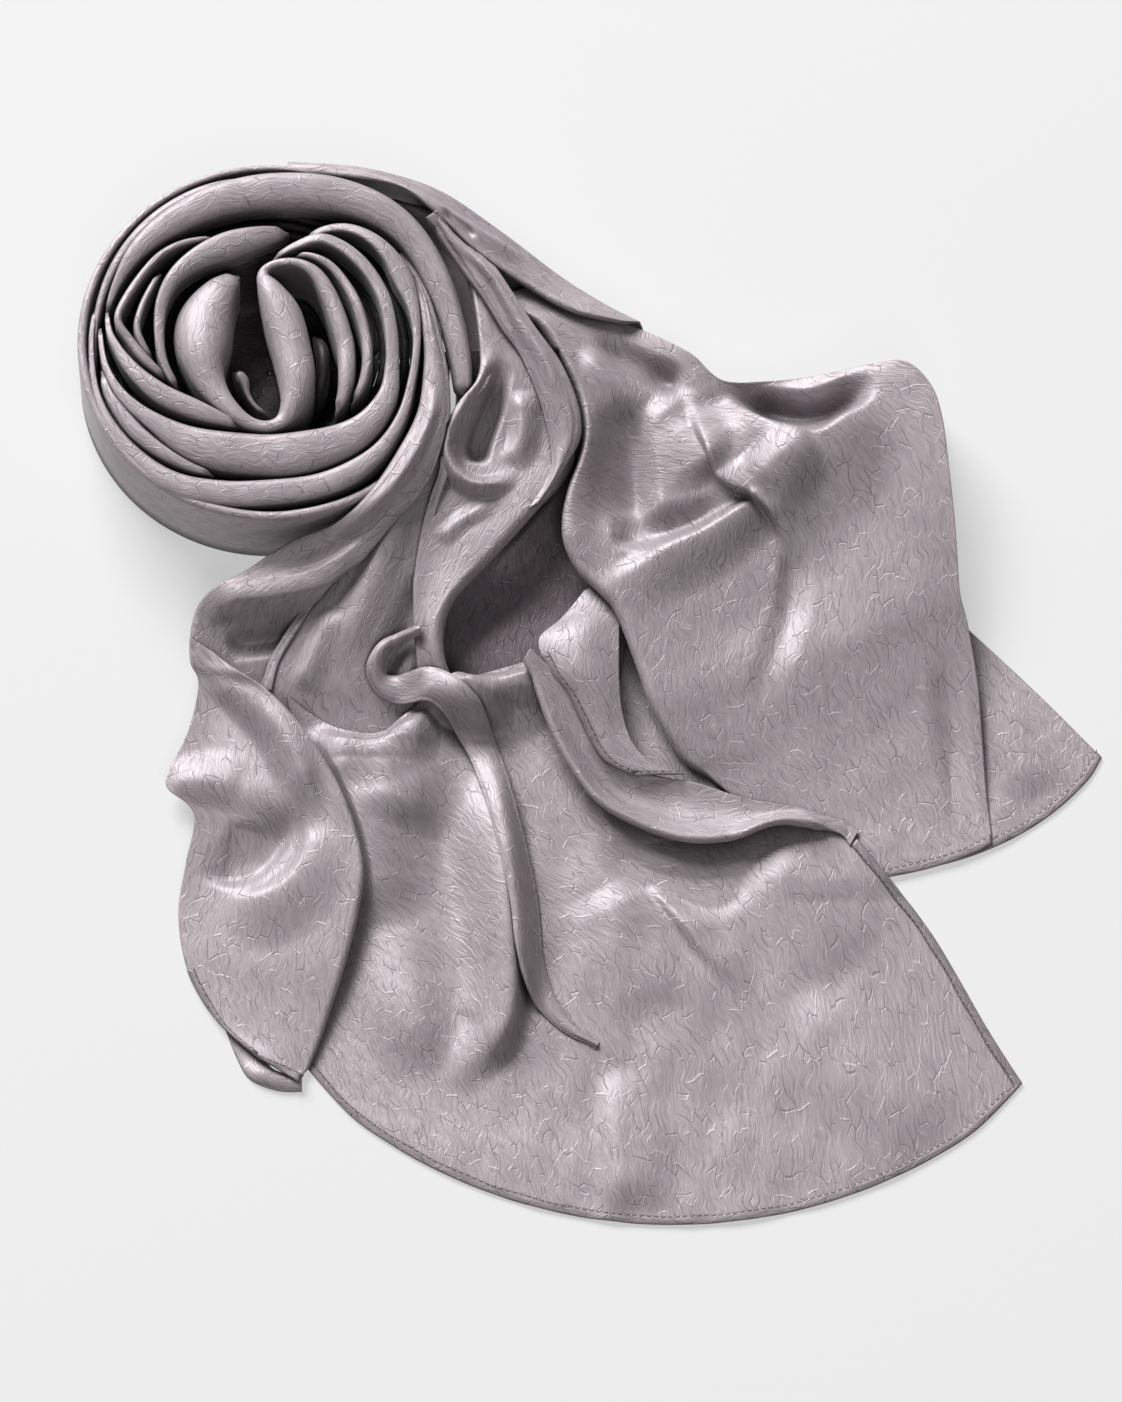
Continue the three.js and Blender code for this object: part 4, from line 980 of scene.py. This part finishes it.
centreFlap = {
    "name": "centreFlap", "nodes": ["centre_root", "centre_flap", "centre_front"], "seed": 73,
    "steps": (200, 150), "ripple": 0.7, "uv": (0.1, 1.4), "on": ["rightSweep", "secondBand"],
    "hem": {"left": 0.67, "right": None},
    "sections": [
        bentRow([(-22, 26), (-32, 26), (-46, 22), (-59, 18), (-73, 12), (-86, 4), (-100, -6), (-114, -16),
            (-134, -15), (-152, -6), (-165, 3)]),
        bentRow([(-21, 18), (-32, 16), (-46, 12), (-59, 8), (-73, 3), (-86, -5), (-100, -14), (-114, -22),
            (-134, -22), (-152, -15), (-163, -8)], puff=2),
        row((-18, -6), (-156, -30), puff=3, bow=2),
        row((-3, -26), (-138, -56), puff=3, bow=5),
        row((18, -50), (-130, -82), puff=2, bow=10),
        row((58, -62), (-130, -104), puff=2, bow=18),
        row((102, -64), (-133, -126), puff=2, bow=28),
        row((138, -70), (-137, -145), puff=1, bow=38),
        row((161, -95), (-141, -161), puff=1, bow=50),
        row((188, -132), (-146, -178), bow=62),
        row((218, -187), (-150, -194), bow=75),
        row((236, -217), (-153, -208), bow=85),
    ],
    "folds": [
        # the rim of the hollow, and the crest along the start
        fold([(-78, 2), (-62, 9), (-46, 11), (-32, 15), (-20, 20)], [3, 11, 13, 13, 9], 9,
            [20, 30, 34, 30, 20]),
        fold([(-84, -8), (-100, -17), (-114, -25), (-134, -25), (-150, -17)], [7, 9, 7, 7, 6],
            [16, 24, 26, 26, 18], 8),
        fold([(-153, -12), (-136.4, -42.5), (-124.3, -71.7), (-117, -101), (-118, -128)],
            [10, 16, 17, 12, 4], [30, 42, 46, 38, 26], [8, 8, 8, 9, 10]),
        fold([(-64, -10), (-54, -48), (-46.8, -86), (-42.4, -127), (-40.7, -159), (-44, -185.5),
            (-58, -203), (-80, -220)], [6, 15, 19, 19, 17, 14, 10, 4], [16, 10, 9, 9, 9, 10, 12, 14],
            [34, 36, 34, 32, 32, 30, 22, 12]),
        fold([(-88, -2), (-94, -36), (-102, -74)], [5, 12, 6], [20, 34, 26], [20, 36, 30]),
        fold([(-112, -92), (-106, -128), (-98, -172), (-84, -212)], [0, 3, 7, 5], [20, 26, 26, 16],
            [24, 32, 34, 26]),
        fold([(12, -206), (16, -248), (18.7, -292)], [1, 4.5, 4], [24, 34, 36], [12, 14, 16]),
        fold([(4, -105), (22, -140), (36, -180)], [3, 4, 1], [34, 44, 44], [30, 38, 44]),
        fold([(30, -98), (46, -119), (62, -140), (88, -166)], [2, 4.5, 4, 1], [8, 16, 20, 20],
            [3, 4, 5, 8]),
        fold([(96, -86), (122, -118), (152, -146)], [4, 4, 1], [30, 38, 38], [26, 38, 42]),
        fold([(6, -74), (28, -98), (62, -106), (98, -94)], [-1, -4, -4, -1], [10, 14, 14, 10],
            [10, 18, 22, 14]),
        fold([(120, -160), (152, -216), (192, -252)], [2, 4, 2], 44, 44),
    ],
}
curledSelvage = {
    "name": "curledSelvage", "nodes": ["curled_selvage"], "seed": 79, "steps": (170, 36), "ripple": 0.2,
    "uv": (0.3, 1.6), "on": ["centreFlap", "rightSweep"], "tuck": {"right": (3.2, 7)},
    "sections": [
        row((-31.9, 25), (-35, 20), (30, 29)),
        row((-17.6, 11), (-29, 3), (26, 25), 1),
        row((-4, -6.8), (-21, -19), (21, 22), 3),
        row((5, -26), (-10, -40.1), (17, 20), 5),
        row((17, -39), (6, -61), (14, 18.5), 7),
        row((40, -43), (31.4, -75.3), (11, 17), 7),
        row((61.6, -47), (56.1, -82.3), (10, 17), 6),
        row((86.4, -55), (80.9, -80), (9, 15), 4),
        row((114, -60), (105.6, -72), (9, 13), 2),
        row((137.5, -66), (134, -75), (5, 7)),
        row((148, -72), (142, -83), (3, 4)),
    ],
    "folds": [
        fold([(78, -80), (94, -72), (116, -68), (132, -72)], [1, 4, 4, 2], 8, 6),
    ],
}
leftCurl = {
    "name": "leftCurl", "nodes": ["left_curl"], "seed": 83, "steps": (60, 16), "ripple": 0.1,
    "uv": (0.22, 1.9), "on": [],
    "sections": [
        row((-190, -172), (-204, -170)),
        row((-184, -186), (-198, -186)),
        row((-177, -200), (-191, -204), puff=1),
        row((-172, -208), (-184, -215), puff=4),
        row((-164, -211), (-170, -221), puff=4),
        row((-156, -212), (-156, -222), puff=3),
    ],
    "folds": [],
}
narrowFold = {
    "name": "narrowFold", "nodes": ["narrow_fold"], "seed": 97, "steps": (160, 22), "ripple": 0.3,
    "uv": (0.05, 1.35), "on": ["centreFlap"], "tuck": {"left": (1.4, 3), "right": (1.4, 3)},
    "sections": ribbonSections(
        [(-92, 35), (-104, 33), (-112.5, 26.5), (-116.5, 16.5), (-112, 9), (-100.7, 6.5), (-84.2, 4.7),
         (-69.3, -7), (-58.3, -26.3), (-50, -52.6), (-41.3, -87.7), (-35.2, -117), (-31.9, -146),
         (-23.7, -169.6), (-10, -186), (5, -196)],
        [6, 8, 10, 12, 14, 17, 19, 19, 18, 17, 17, 17, 16, 14, 9, 3],
        [2, 3, 3.4, 3, 2.4, 2, 1.8, 1.8, 1.8, 1.8, 1.8, 1.8, 1.8, 1.6, 1.2, 1],
    ),
    "folds": [],
}
hollowSheet = {
    "name": "hollowSheet", "satin": hollowSatin, "nodes": ["outer_sweep"], "seed": 101, "steps": (100, 60),
    "ripple": 0.5, "uv": (0.1, 1.1), "on": ["underCloth", "lowerLayer"],
    "sections": [
        row((2, 200), (-68, 196), (34, 42)),
        row((8, 166), (-66, 166), (26, 38), 3),
        row((10, 125), (-70, 127), (13, 28), 5),
        row((18, 90), (-74, 90), (7, 18), 4),
        row((24, 61), (-80, 61), (4, 10), 3),
        row((20, 34), (-86, 34), (3.5, 8), 1),
        row((16, 8), (-84, 8), (3, 5)),
    ],
    "folds": [
        fold([(-12, 150), (-16, 124), (-34, 98), (-56, 76)], [2, 5, 5, 2], 10, 12),
    ],
}
smallFlap = {
    "name": "smallFlap", "nodes": ["small_flap"], "seed": 103, "steps": (110, 66), "ripple": 0.4,
    "marked": False, "uv": (0.25, 1.5), "on": ["hollowSheet", "curledSelvage"],
    "hem": {"left": None, "right": 0.36},
    "sections": [
        row((14, 70), (-2, 64), (17, 17)),
        row((17, 53), (-14, 47), (18, 20), -1),
        row((17, 33), (-27, 32), (20, 26), -2),
        row((17, 9.5), (-22, 15), (20, 26), -2),
        row((19, -9.8), (-11, 0.8), (18, 22), -1),
        row((25, -26.3), (-1.5, -18.3), (16, 18.5), -0.5),
        row((37, -37.1), (8.7, -35), (14, 16)),
        row((52.3, -42), (26, -43.6), (12.5, 13.5)),
    ],
    "folds": [
        fold([(4, 56), (-2, 34), (4, 6), (18, -20)], [1, 3, 3, 1], 20, 22),
    ],
}
secondBand = {
    "name": "secondBand", "nodes": ["second_band"], "seed": 105, "steps": (110, 56), "ripple": 0.5,
    "uv": (0.3, 0.9), "on": ["underCloth"], "tuck": {"right": (3, 6)},
    "sections": [
        row((-76, 128.8), (-86.9, 131), (44, 50)),
        row((-80, 110.5), (-100.7, 112.7), (39, 45)),
        row((-84, 89.3), (-118.8, 89.3), (33, 38)),
        row((-86, 59.3), (-144, 62), (27, 27)),
        row((-86, 37.3), (-166, 34), (22, 18)),
        row((-88, 16), (-178, 8), (15, 12), -1),
        row((-92, -6), (-182, -8), (6, 5)),
        row((-94, -24), (-164, -22), (2.5, 3)),
    ],
    "folds": [
        fold([(-96, 118), (-106, 92), (-118, 64), (-130, 38), (-138, 14)], [1, 3, 5, 5, 3],
            [8, 12, 16, 18, 16], [6, 9, 13, 16, 14]),
        fold([(-92, 74), (-98, 48), (-108, 22), (-114, 4)], [-2, -5, -6, -3], [8, 10, 12, 12],
            [8, 12, 14, 14]),
        fold([(-138, 50), (-150, 28), (-158, 6)], [2, 4, 4], [8, 12, 14], 8),
    ],
}
cupFold = {
    "name": "cupFold", "nodes": ["cup_fold"], "seed": 107, "steps": (190, 70), "ripple": 0.4,
    "uv": (0.0, 1.0), "on": ["underCloth"], "tuck": {"left": (6, 10), "right": (2, 5)},
    "sections": [
        row((-54, 241), (-66, 241), (44, 46)),
        row((-36.3, 203), (-60.5, 200.5), (44, 50)),
        row((-21, 176), (-61, 176), (42, 48)),
        row((-11, 156), (-73.2, 158), (38, 46), 1),
        row((-7.2, 138.5), (-81.4, 140), (36, 44), 1),
        row((-14.3, 121.5), (-83, 123.4), (37, 42)),
        row((-26.4, 106.8), (-88, 109), (37, 41)),
        row((-41.8, 88.2), (-93.5, 88), (36, 37)),
        row((-58.3, 70.5), (-96, 65), (34, 33)),
        row((-73.2, 53.7), (-96, 45.5), (32, 29)),
        row((-80.9, 32.6), (-95, 29.7), (29, 26)),
        row((-77.6, 13.6), (-91.5, 12), (25, 21)),
        row((-66, 3.5), (-76, -2), (18, 14)),
        row((-53, -1), (-57, -6), (8, 7)),
    ],
    "folds": [
        # the cup: a raised lip round a hollow
        fold([(-50, 204), (-55, 183.6), (-66, 164.3), (-75.5, 146.8), (-77.8, 132), (-71.5, 119.5),
            (-59.4, 114.5), (-47, 118), (-41, 128)], [2, 5, 8, 9, 10, 10, 9, 7, 2], 8, 7),
        fold([(-47, 188), (-52.8, 163), (-60, 142.7), (-62, 129)], [-5, -12, -16, -11], 9, 9),
        fold([(-37.4, 172), (-36.3, 146), (-44, 128)], [4, 6, 2], 12, 9),
        fold([(-18, 122), (-33, 105), (-48, 87), (-64, 68), (-78, 50), (-84, 32), (-80, 14), (-66, 1)],
            [2, 3, 3, 3, 3, 3, 3, 1], 6, [20, 24, 26, 24, 16, 10, 9, 8]),
        fold([(-52, 106), (-70, 96), (-82, 84)], [2, 3, 2], 7, 7),
    ],
}
topFold = {
    "name": "topFold", "nodes": ["top_fold"], "seed": 109, "steps": (170, 30), "ripple": 0.3,
    "uv": (0.1, 0.8), "on": ["cupFold", "hollowSheet"], "tuck": {"left": (4.5, 7), "right": (3.5, 6)},
    "sections": [
        row((-82, 272), (-88, 268), (58, 59), puff=1),
        row((-67.7, 256.3), (-82, 256.3), (56, 57), puff=3),
        row((-53.9, 244.4), (-72.6, 242.4), (55, 55), puff=3),
        row((-41.8, 226.4), (-60.5, 223.8), (53, 53), puff=3),
        row((-29.2, 206.6), (-49.5, 205.3), (51, 51), puff=3),
        row((-14.3, 185.7), (-38.5, 188.4), (49, 48), puff=3),
        row((-5, 161.3), (-29.2, 165), (47, 44), puff=3),
        row((-4.5, 141.5), (-23.5, 141.9), (44, 40), puff=2),
        row((-14, 124), (-23, 121), (41, 40), puff=1),
        row((-26, 108), (-29, 106), (40.5, 40)),
    ],
    "folds": [
        fold([(-66, 252), (-50, 232), (-36, 208), (-22, 182), (-14, 156)], [2, 3, 3, 3, 2], 6, 6),
        fold([(-72, 250), (-56, 230), (-43, 206), (-30, 180)], [-1, -3, -3, -2], 4, 4),
    ],
}
leftBand = {
    "name": "leftBand", "nodes": ["left_band"], "seed": 113, "steps": (170, 56), "ripple": 0.5,
    "uv": (0.0, 0.9), "on": ["underCloth", "secondBand"], "tuck": {"left": (2.5, 5), "right": (3.5, 7)},
    "sections": [
        row((-103.2, 249.6), (-104.8, 248.4), (52, 52)),
        row((-92, 230), (-95, 229.5), (56, 56)),
        row((-83.5, 207), (-90.5, 206), (59, 60), puff=1),
        row((-77, 177.8), (-90.8, 177), (58, 60), puff=1),
        row((-75.9, 149.3), (-94, 153.7), (56, 60), puff=1),
        row((-81.4, 126.6), (-104, 132.5), (53, 59), puff=1),
        row((-92.4, 107.6), (-119, 110), (49, 56), puff=1),
        row((-106.2, 92.2), (-139, 92), (43, 50), puff=1),
        row((-119.9, 76.8), (-165, 83), (37, 43), puff=1),
        row((-133.7, 67), (-190, 68), (31, 35), puff=1),
        row((-147.4, 54.2), (-211, 56), (25, 28)),
        row((-158.4, 38.1), (-218, 42), (18, 23), 2),
        row((-167.8, 22), (-217, 28), (13, 18), 2),
        row((-172, 5.9), (-204, 12), (8, 11)),
    ],
    "folds": [
        fold([(-112, 84), (-128, 71), (-143, 62), (-158.4, 56.7), (-180.4, 53), (-199.7, 50.5), (-212, 42)],
            [2, 5, 8, 10, 11, 10, 5], 9, 20),
        fold([(-156, 42), (-176, 36), (-200, 33)], [-4, -7, -6], 12, 10),
        fold([(-84, 170), (-86, 150), (-96, 126), (-112, 104), (-136, 84)], [1.5, 2.5, 3, 3, 2], 5, 6),
        fold([(-100, 112), (-120, 92), (-146, 74), (-176, 66)], [-1, -2, -3, -2], 5, 7),
    ],
}
leftFlap = {
    "name": "leftFlap", "nodes": ["left_root", "left_flap"], "seed": 89, "steps": (160, 76), "ripple": 0.5,
    "uv": (-0.2, 1.3), "on": ["centreFlap"], "hem": {"left": None, "right": 0.8}, "tuck": {"left": (3, 6)},
    "sections": [
        row((-204, 24.5), (-219, 34.6), (22, 20)),
        row((-190, 12.5), (-218.4, 21), (24, 18), 2),
        row((-175, 1.5), (-214, 10), (25, 14), 5),
        row((-158.4, -17), (-219, -15), (25, 12), 6),
        row((-143, -39.5), (-229, -38), (24, 12), 5),
        row((-133, -60), (-230.5, -50), (23, 12), 4),
        row((-126, -81), (-216, -64), (21, 10), 5),
        row((-123, -102.5), (-220, -90), (20, 6), 4),
        row((-126.5, -126), (-224, -116), (17, 3), 2),
        row((-133.7, -154.5), (-222, -139.5), (13, 2)),
        row((-141, -177.5), (-215.6, -160), (9, 2)),
        row((-148.5, -202), (-201, -183.5), (6, 3)),
        row((-155, -219), (-179, -204), (4, 7)),
    ],
    "folds": [
        fold([(-214, 20), (-199.7, 8.9), (-183.2, -5.8), (-166.7, -26.3), (-156, -50), (-152, -80)],
            [3, 7, 9, 10, 9, 3], [10, 14, 16, 16, 14, 12], [8, 11, 13, 15, 16, 16]),
        fold([(-152, -60), (-152, -84), (-162, -103), (-180, -113), (-204, -112)], [2, 6, 7, 6, 2],
            [16, 26, 32, 32, 22], [9, 10, 11, 11, 10]),
        fold([(-214, -94), (-196, -98), (-180, -93), (-169, -78), (-167, -60)], [-2, -6, -8, -7, -2],
            [26, 36, 38, 32, 22], [9, 9, 9, 9, 8]),
        fold([(-230, -46), (-210, -46), (-188, -48)], [2, 4, 1], [14, 20, 20], [12, 16, 16]),
    ],
}

stretches = [
    underCloth, lowerLayer, smallFlap, hollowSheet, rightCorner, rightSweep, backSweep, secondBand, cupFold,
    centreFlap, curledSelvage, leftCurl, narrowFold, topFold, leftBand, leftFlap,
]
laidGrids = {}
for stretch in stretches:
    flat, grid = layStretch(stretch)
    laidGrids[stretch["name"]] = flat
    satin = stretch.get("satin", crinkledSatin)
    addSheet(stretch["name"], grid, satin, stretch["uv"], "draped", stretch["on"], stretch["nodes"])
print("stretches laid:", len(stretches))

# hems: the cloth turned under twice, drawn as a narrow strip along each cut edge

hem = {
    "wall": 0.4,
    "inner": 4,  # columns of the grid from the edge to the point that gives the way in
    "step": 1.6,
    "wave": 0.06,
    "waveTurn": 0.31,
    "uv": (0.5, 0.1),
    # distance in from the cut edge and height above the cloth, across the strip
    "section": [(-0.5, 0.1), (-0.3, 0.7), (0.4, 1.0), (2.2, 1.15), (3.8, 1.0), (4.6, 0.8), (4.8, 0.25)],
    "nodes": {
        "rightCorner": "hem_corner", "rightSweep": "hem_right", "centreFlap": "hem_centre",
        "leftFlap": "hem_left", "smallFlap": "hem_small",
    },
}
stitch = {"length": 2.4, "pitch": 3.9, "thickness": 0.42, "in": 3.9, "height": 1.02, "lineStep": 1.0}


def hemLine(grid, sides):
    # the cut edge and the way in from it, walked from the left edge across the end to the right edge
    rows, columns = grid.shape[:2]
    inner = hem["inner"]
    left, right = sides["left"], sides["right"]
    pairs = []
    if left is not None:
        for k in range(round(left * (rows - 1)), rows - 1):
            pairs.append((grid[k, 0], grid[min(k, rows - 1 - inner), inner]))
    for k in range(columns):
        inside = k if left is None else max(k, inner)
        if right is not None:
            inside = min(inside, columns - 1 - inner)
        pairs.append((grid[-1, k], grid[-1 - inner, inside]))
    if right is not None:
        for k in range(rows - 2, round(right * (rows - 1)) - 1, -1):
            pairs.append((grid[k, -1], grid[min(k, rows - 1 - inner), -1 - inner]))
    edge = np.array([p[0] for p in pairs])
    inside = np.array([p[1] for p in pairs])
    reach = np.linalg.norm(inside - edge, axis=1, keepdims=True)
    return edge, (inside - edge) / np.maximum(reach, tiny)


def evenly(points, step, *others):
    # the same line with its points a fixed step apart
    lengths = lengthAlong(points)
    places = np.linspace(0, lengths[-1], max(2, int(lengths[-1] / step)))
    lines = []
    for line in (points, *others):
        lines.append(np.stack([np.interp(places, lengths, line[:, k]) for k in range(3)], axis=1))
    return lines


stitchLines = {}
for stretch in stretches:
    if not stretch.get("hem"):
        continue
    name = stretch["name"]
    edge, inward = hemLine(laidGrids[name], stretch["hem"])
    edge, inward = evenly(edge, hem["step"], inward)
    wave = 1 + hem["wave"] * np.sin(np.arange(len(edge)) * hem["waveTurn"])[:, None]
    strip = []
    for across, height in hem["section"]:
        strip.append(edge + inward * across * wave + np.array([0, 0, height]))
    turnsLeft = np.cross(inward[0], edge[1] - edge[0])[2] > 0
    strip = np.stack(strip, axis=1)
    piece = shellPiece(name + "Hem", strip, hemSatin, hem["wall"], hem["uv"], flip=not turnsLeft)
    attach(piece, "root")
    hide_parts(hem["nodes"][name])
    declared[name]["with"].append(piece)
    stitchLines[name] = edge + inward * stitch["in"] * wave + np.array([0, 0, stitch["height"]])


def stitchTree():
    # short thread bars along a line, one every pitch
    tree = bpy.data.node_groups.new("hemStitches", "GeometryNodeTree")
    tree.interface.new_socket(name="Line", in_out="INPUT", socket_type="NodeSocketGeometry")
    for name in ("Pitch", "Stitch length", "Thread thickness"):
        tree.interface.new_socket(name=name, in_out="INPUT", socket_type="NodeSocketFloat")
    tree.interface.new_socket(name="Thread", in_out="INPUT", socket_type="NodeSocketMaterial")
    tree.interface.new_socket(name="Stitches", in_out="OUTPUT", socket_type="NodeSocketGeometry")
    given = addNode(tree, "NodeGroupInput")
    curve = addNode(tree, "GeometryNodeMeshToCurve", {}, {}, [("Mesh", given, "Line")])
    points = addNode(
        tree, "GeometryNodeCurveToPoints", {"mode": "LENGTH"}, {},
        [("Curve", curve, "Curve"), ("Length", given, "Pitch")],
    )
    halfThick, halfLong = [
        addNode(tree, "ShaderNodeMath", multiply, {1: 0.5}, [(0, given, size)])
        for size in ("Thread thickness", "Stitch length")
    ]
    bar = addNode(
        tree, "GeometryNodeMeshCylinder", {"fill_type": "TRIANGLE_FAN"}, {"Vertices": 6, "Side Segments": 3},
        [("Radius", halfThick, 0), ("Depth", given, "Stitch length")],
    )
    place = addNode(tree, "GeometryNodeInputPosition")
    split = addNode(tree, "ShaderNodeSeparateXYZ", {}, {}, [("Vector", place, "Position")])
    # the bar bows by a thread's thickness between its middle and its ends
    share = addNode(tree, "ShaderNodeMath", {"operation": "DIVIDE"}, {}, [(0, split, "Z"), (1, halfLong, 0)])
    square = addNode(tree, "ShaderNodeMath", multiply, {}, [(0, share, 0), (1, share, 0)])
    bend = addNode(tree, "ShaderNodeMath", multiply, {}, [(0, square, 0), (1, given, "Thread thickness")])
    push = addNode(tree, "ShaderNodeCombineXYZ", {}, {}, [("X", bend, 0)])
    bowed = addNode(
        tree, "GeometryNodeSetPosition", {}, {}, [("Geometry", bar, "Mesh"), ("Offset", push, "Vector")]
    )
    placed = addNode(
        tree, "GeometryNodeInstanceOnPoints", {}, {},
        [("Points", points, "Points"), ("Instance", bowed, "Geometry"), ("Rotation", points, "Rotation")],
    )
    made = addNode(tree, "GeometryNodeRealizeInstances", {}, {}, [("Geometry", placed, "Instances")])
    smooth = addNode(tree, "GeometryNodeSetShadeSmooth", {}, {}, [("Geometry", made, "Geometry")])
    finish = addNode(
        tree, "GeometryNodeSetMaterial", {}, {},
        [("Geometry", smooth, "Geometry"), ("Material", given, "Thread")],
    )
    addNode(tree, "NodeGroupOutput", {}, {}, [("Stitches", finish, "Geometry")])
    return tree


hemStitches = stitchTree()


def addStitches(name, line):
    mesh = bpy.data.meshes.new(name + "Line")
    edges = [(i, i + 1) for i in range(len(line) - 1)]
    mesh.from_pydata((line * mm + frameShift).tolist(), edges, [])
    guide = addObject(name + "Line", mesh)
    modifier = guide.modifiers.new("stitches", "NODES")
    modifier.node_group = hemStitches
    sizes = {
        "Pitch": stitch["pitch"] * mm, "Stitch length": stitch["length"] * mm,
        "Thread thickness": stitch["thickness"] * mm, "Thread": hemThread,
    }
    for item in hemStitches.interface.items_tree:
        if item.item_type == "SOCKET" and item.in_out == "INPUT" and item.name in sizes:
            modifier[item.identifier] = sizes[item.name]
    ready = guide.evaluated_get(bpy.context.evaluated_depsgraph_get())
    made = bpy.data.meshes.new_from_object(ready)
    guide.modifiers.clear()
    bpy.data.objects.remove(guide)
    return addObject(name, made)


for name, line in stitchLines.items():
    piece = addStitches(name + "Stitches", evenly(line, stitch["lineStep"])[0])
    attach(piece, "root")
    declared[name]["with"].append(piece)
print("hems and stitches made:", len(stitchLines))

# every sheet goes on the root body, and the imported parts that it stands for are hidden

for sheet in declared.values():
    piece, grid = sheet["piece"], sheet["grid"]
    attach(piece, "root")
    if sheet["nodes"]:
        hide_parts(*sheet["nodes"])
    across = np.linalg.norm(np.diff(grid, axis=1), axis=2).sum(axis=1).mean() * mm
print("sheets declared:", len(declared))

# floor, light and camera

# painted board: matt and even, so that only soft shadows mark it
floorMaterial = bpy.data.materials.new("pale matt backdrop")
floorMaterial.use_nodes = True
floorShader = floorMaterial.node_tree.nodes["Principled BSDF"]
floorLook = {
    "Base Color": hexColour(studio["floorColour"]), "Roughness": 0.95, "Emission Color": hexColour("#ffffff"),
    "Emission Strength": studio["floorGlow"], "Specular IOR Level": 0.1,
}
for key, value in floorLook.items():
    floorShader.inputs[key].default_value = value
half, below = studio["floorHalfSize"], -studio["floorDrop"]
corners = np.array([(x * half, y * half, below) for x, y in ((-1, -1), (1, -1), (1, 1), (-1, 1))])
floor = meshPiece("floor", corners, np.array([(0, 1, 2, 3)]), floorMaterial)

lamps = [
    {"name": "backSoftbox", "place": (-3200, 6200, 5200), "size": (5000, 4200), "watts": 1420},
    {"name": "frontFill", "place": (1200, -5200, 6800), "size": (3600, 3600), "watts": 150},
]
for lamp in lamps:
    light = bpy.data.lights.new(lamp["name"], "AREA")
    light.shape = "RECTANGLE"
    light.size, light.size_y = lamp["size"][0] * mm, lamp["size"][1] * mm
    light.energy = lamp["watts"]
    body = addObject(lamp["name"], light)
    body.location = Vector(lamp["place"]) * mm
    body.rotation_euler = (-body.location).to_track_quat("-Z", "Y").to_euler()

world = bpy.data.worlds.new("soft studio")
world.use_nodes = True
background = world.node_tree.nodes["Background"]
background.inputs["Color"].default_value = hexColour("#ffffff")
background.inputs["Strength"].default_value = studio["worldLight"]
bpy.context.scene.world = world
bpy.context.scene.view_settings.view_transform = "Standard"

camera = bpy.data.cameras.new("camera")
camera.lens = studio["lens"]
camera.sensor_width = 36.0
camera.sensor_fit = "AUTO"
camera.clip_end = 50
eye = addObject("camera", camera)
target = Vector(studio["target"]) * mm
tilt = math.radians(studio["elevation"])
eye.location = target + Vector((0, -math.cos(tilt), math.sin(tilt))) * studio["distance"]
eye.rotation_euler = (target - eye.location).to_track_quat("-Z", "Y").to_euler()
bpy.context.scene.camera = eye
print("floor, lamps and camera made")
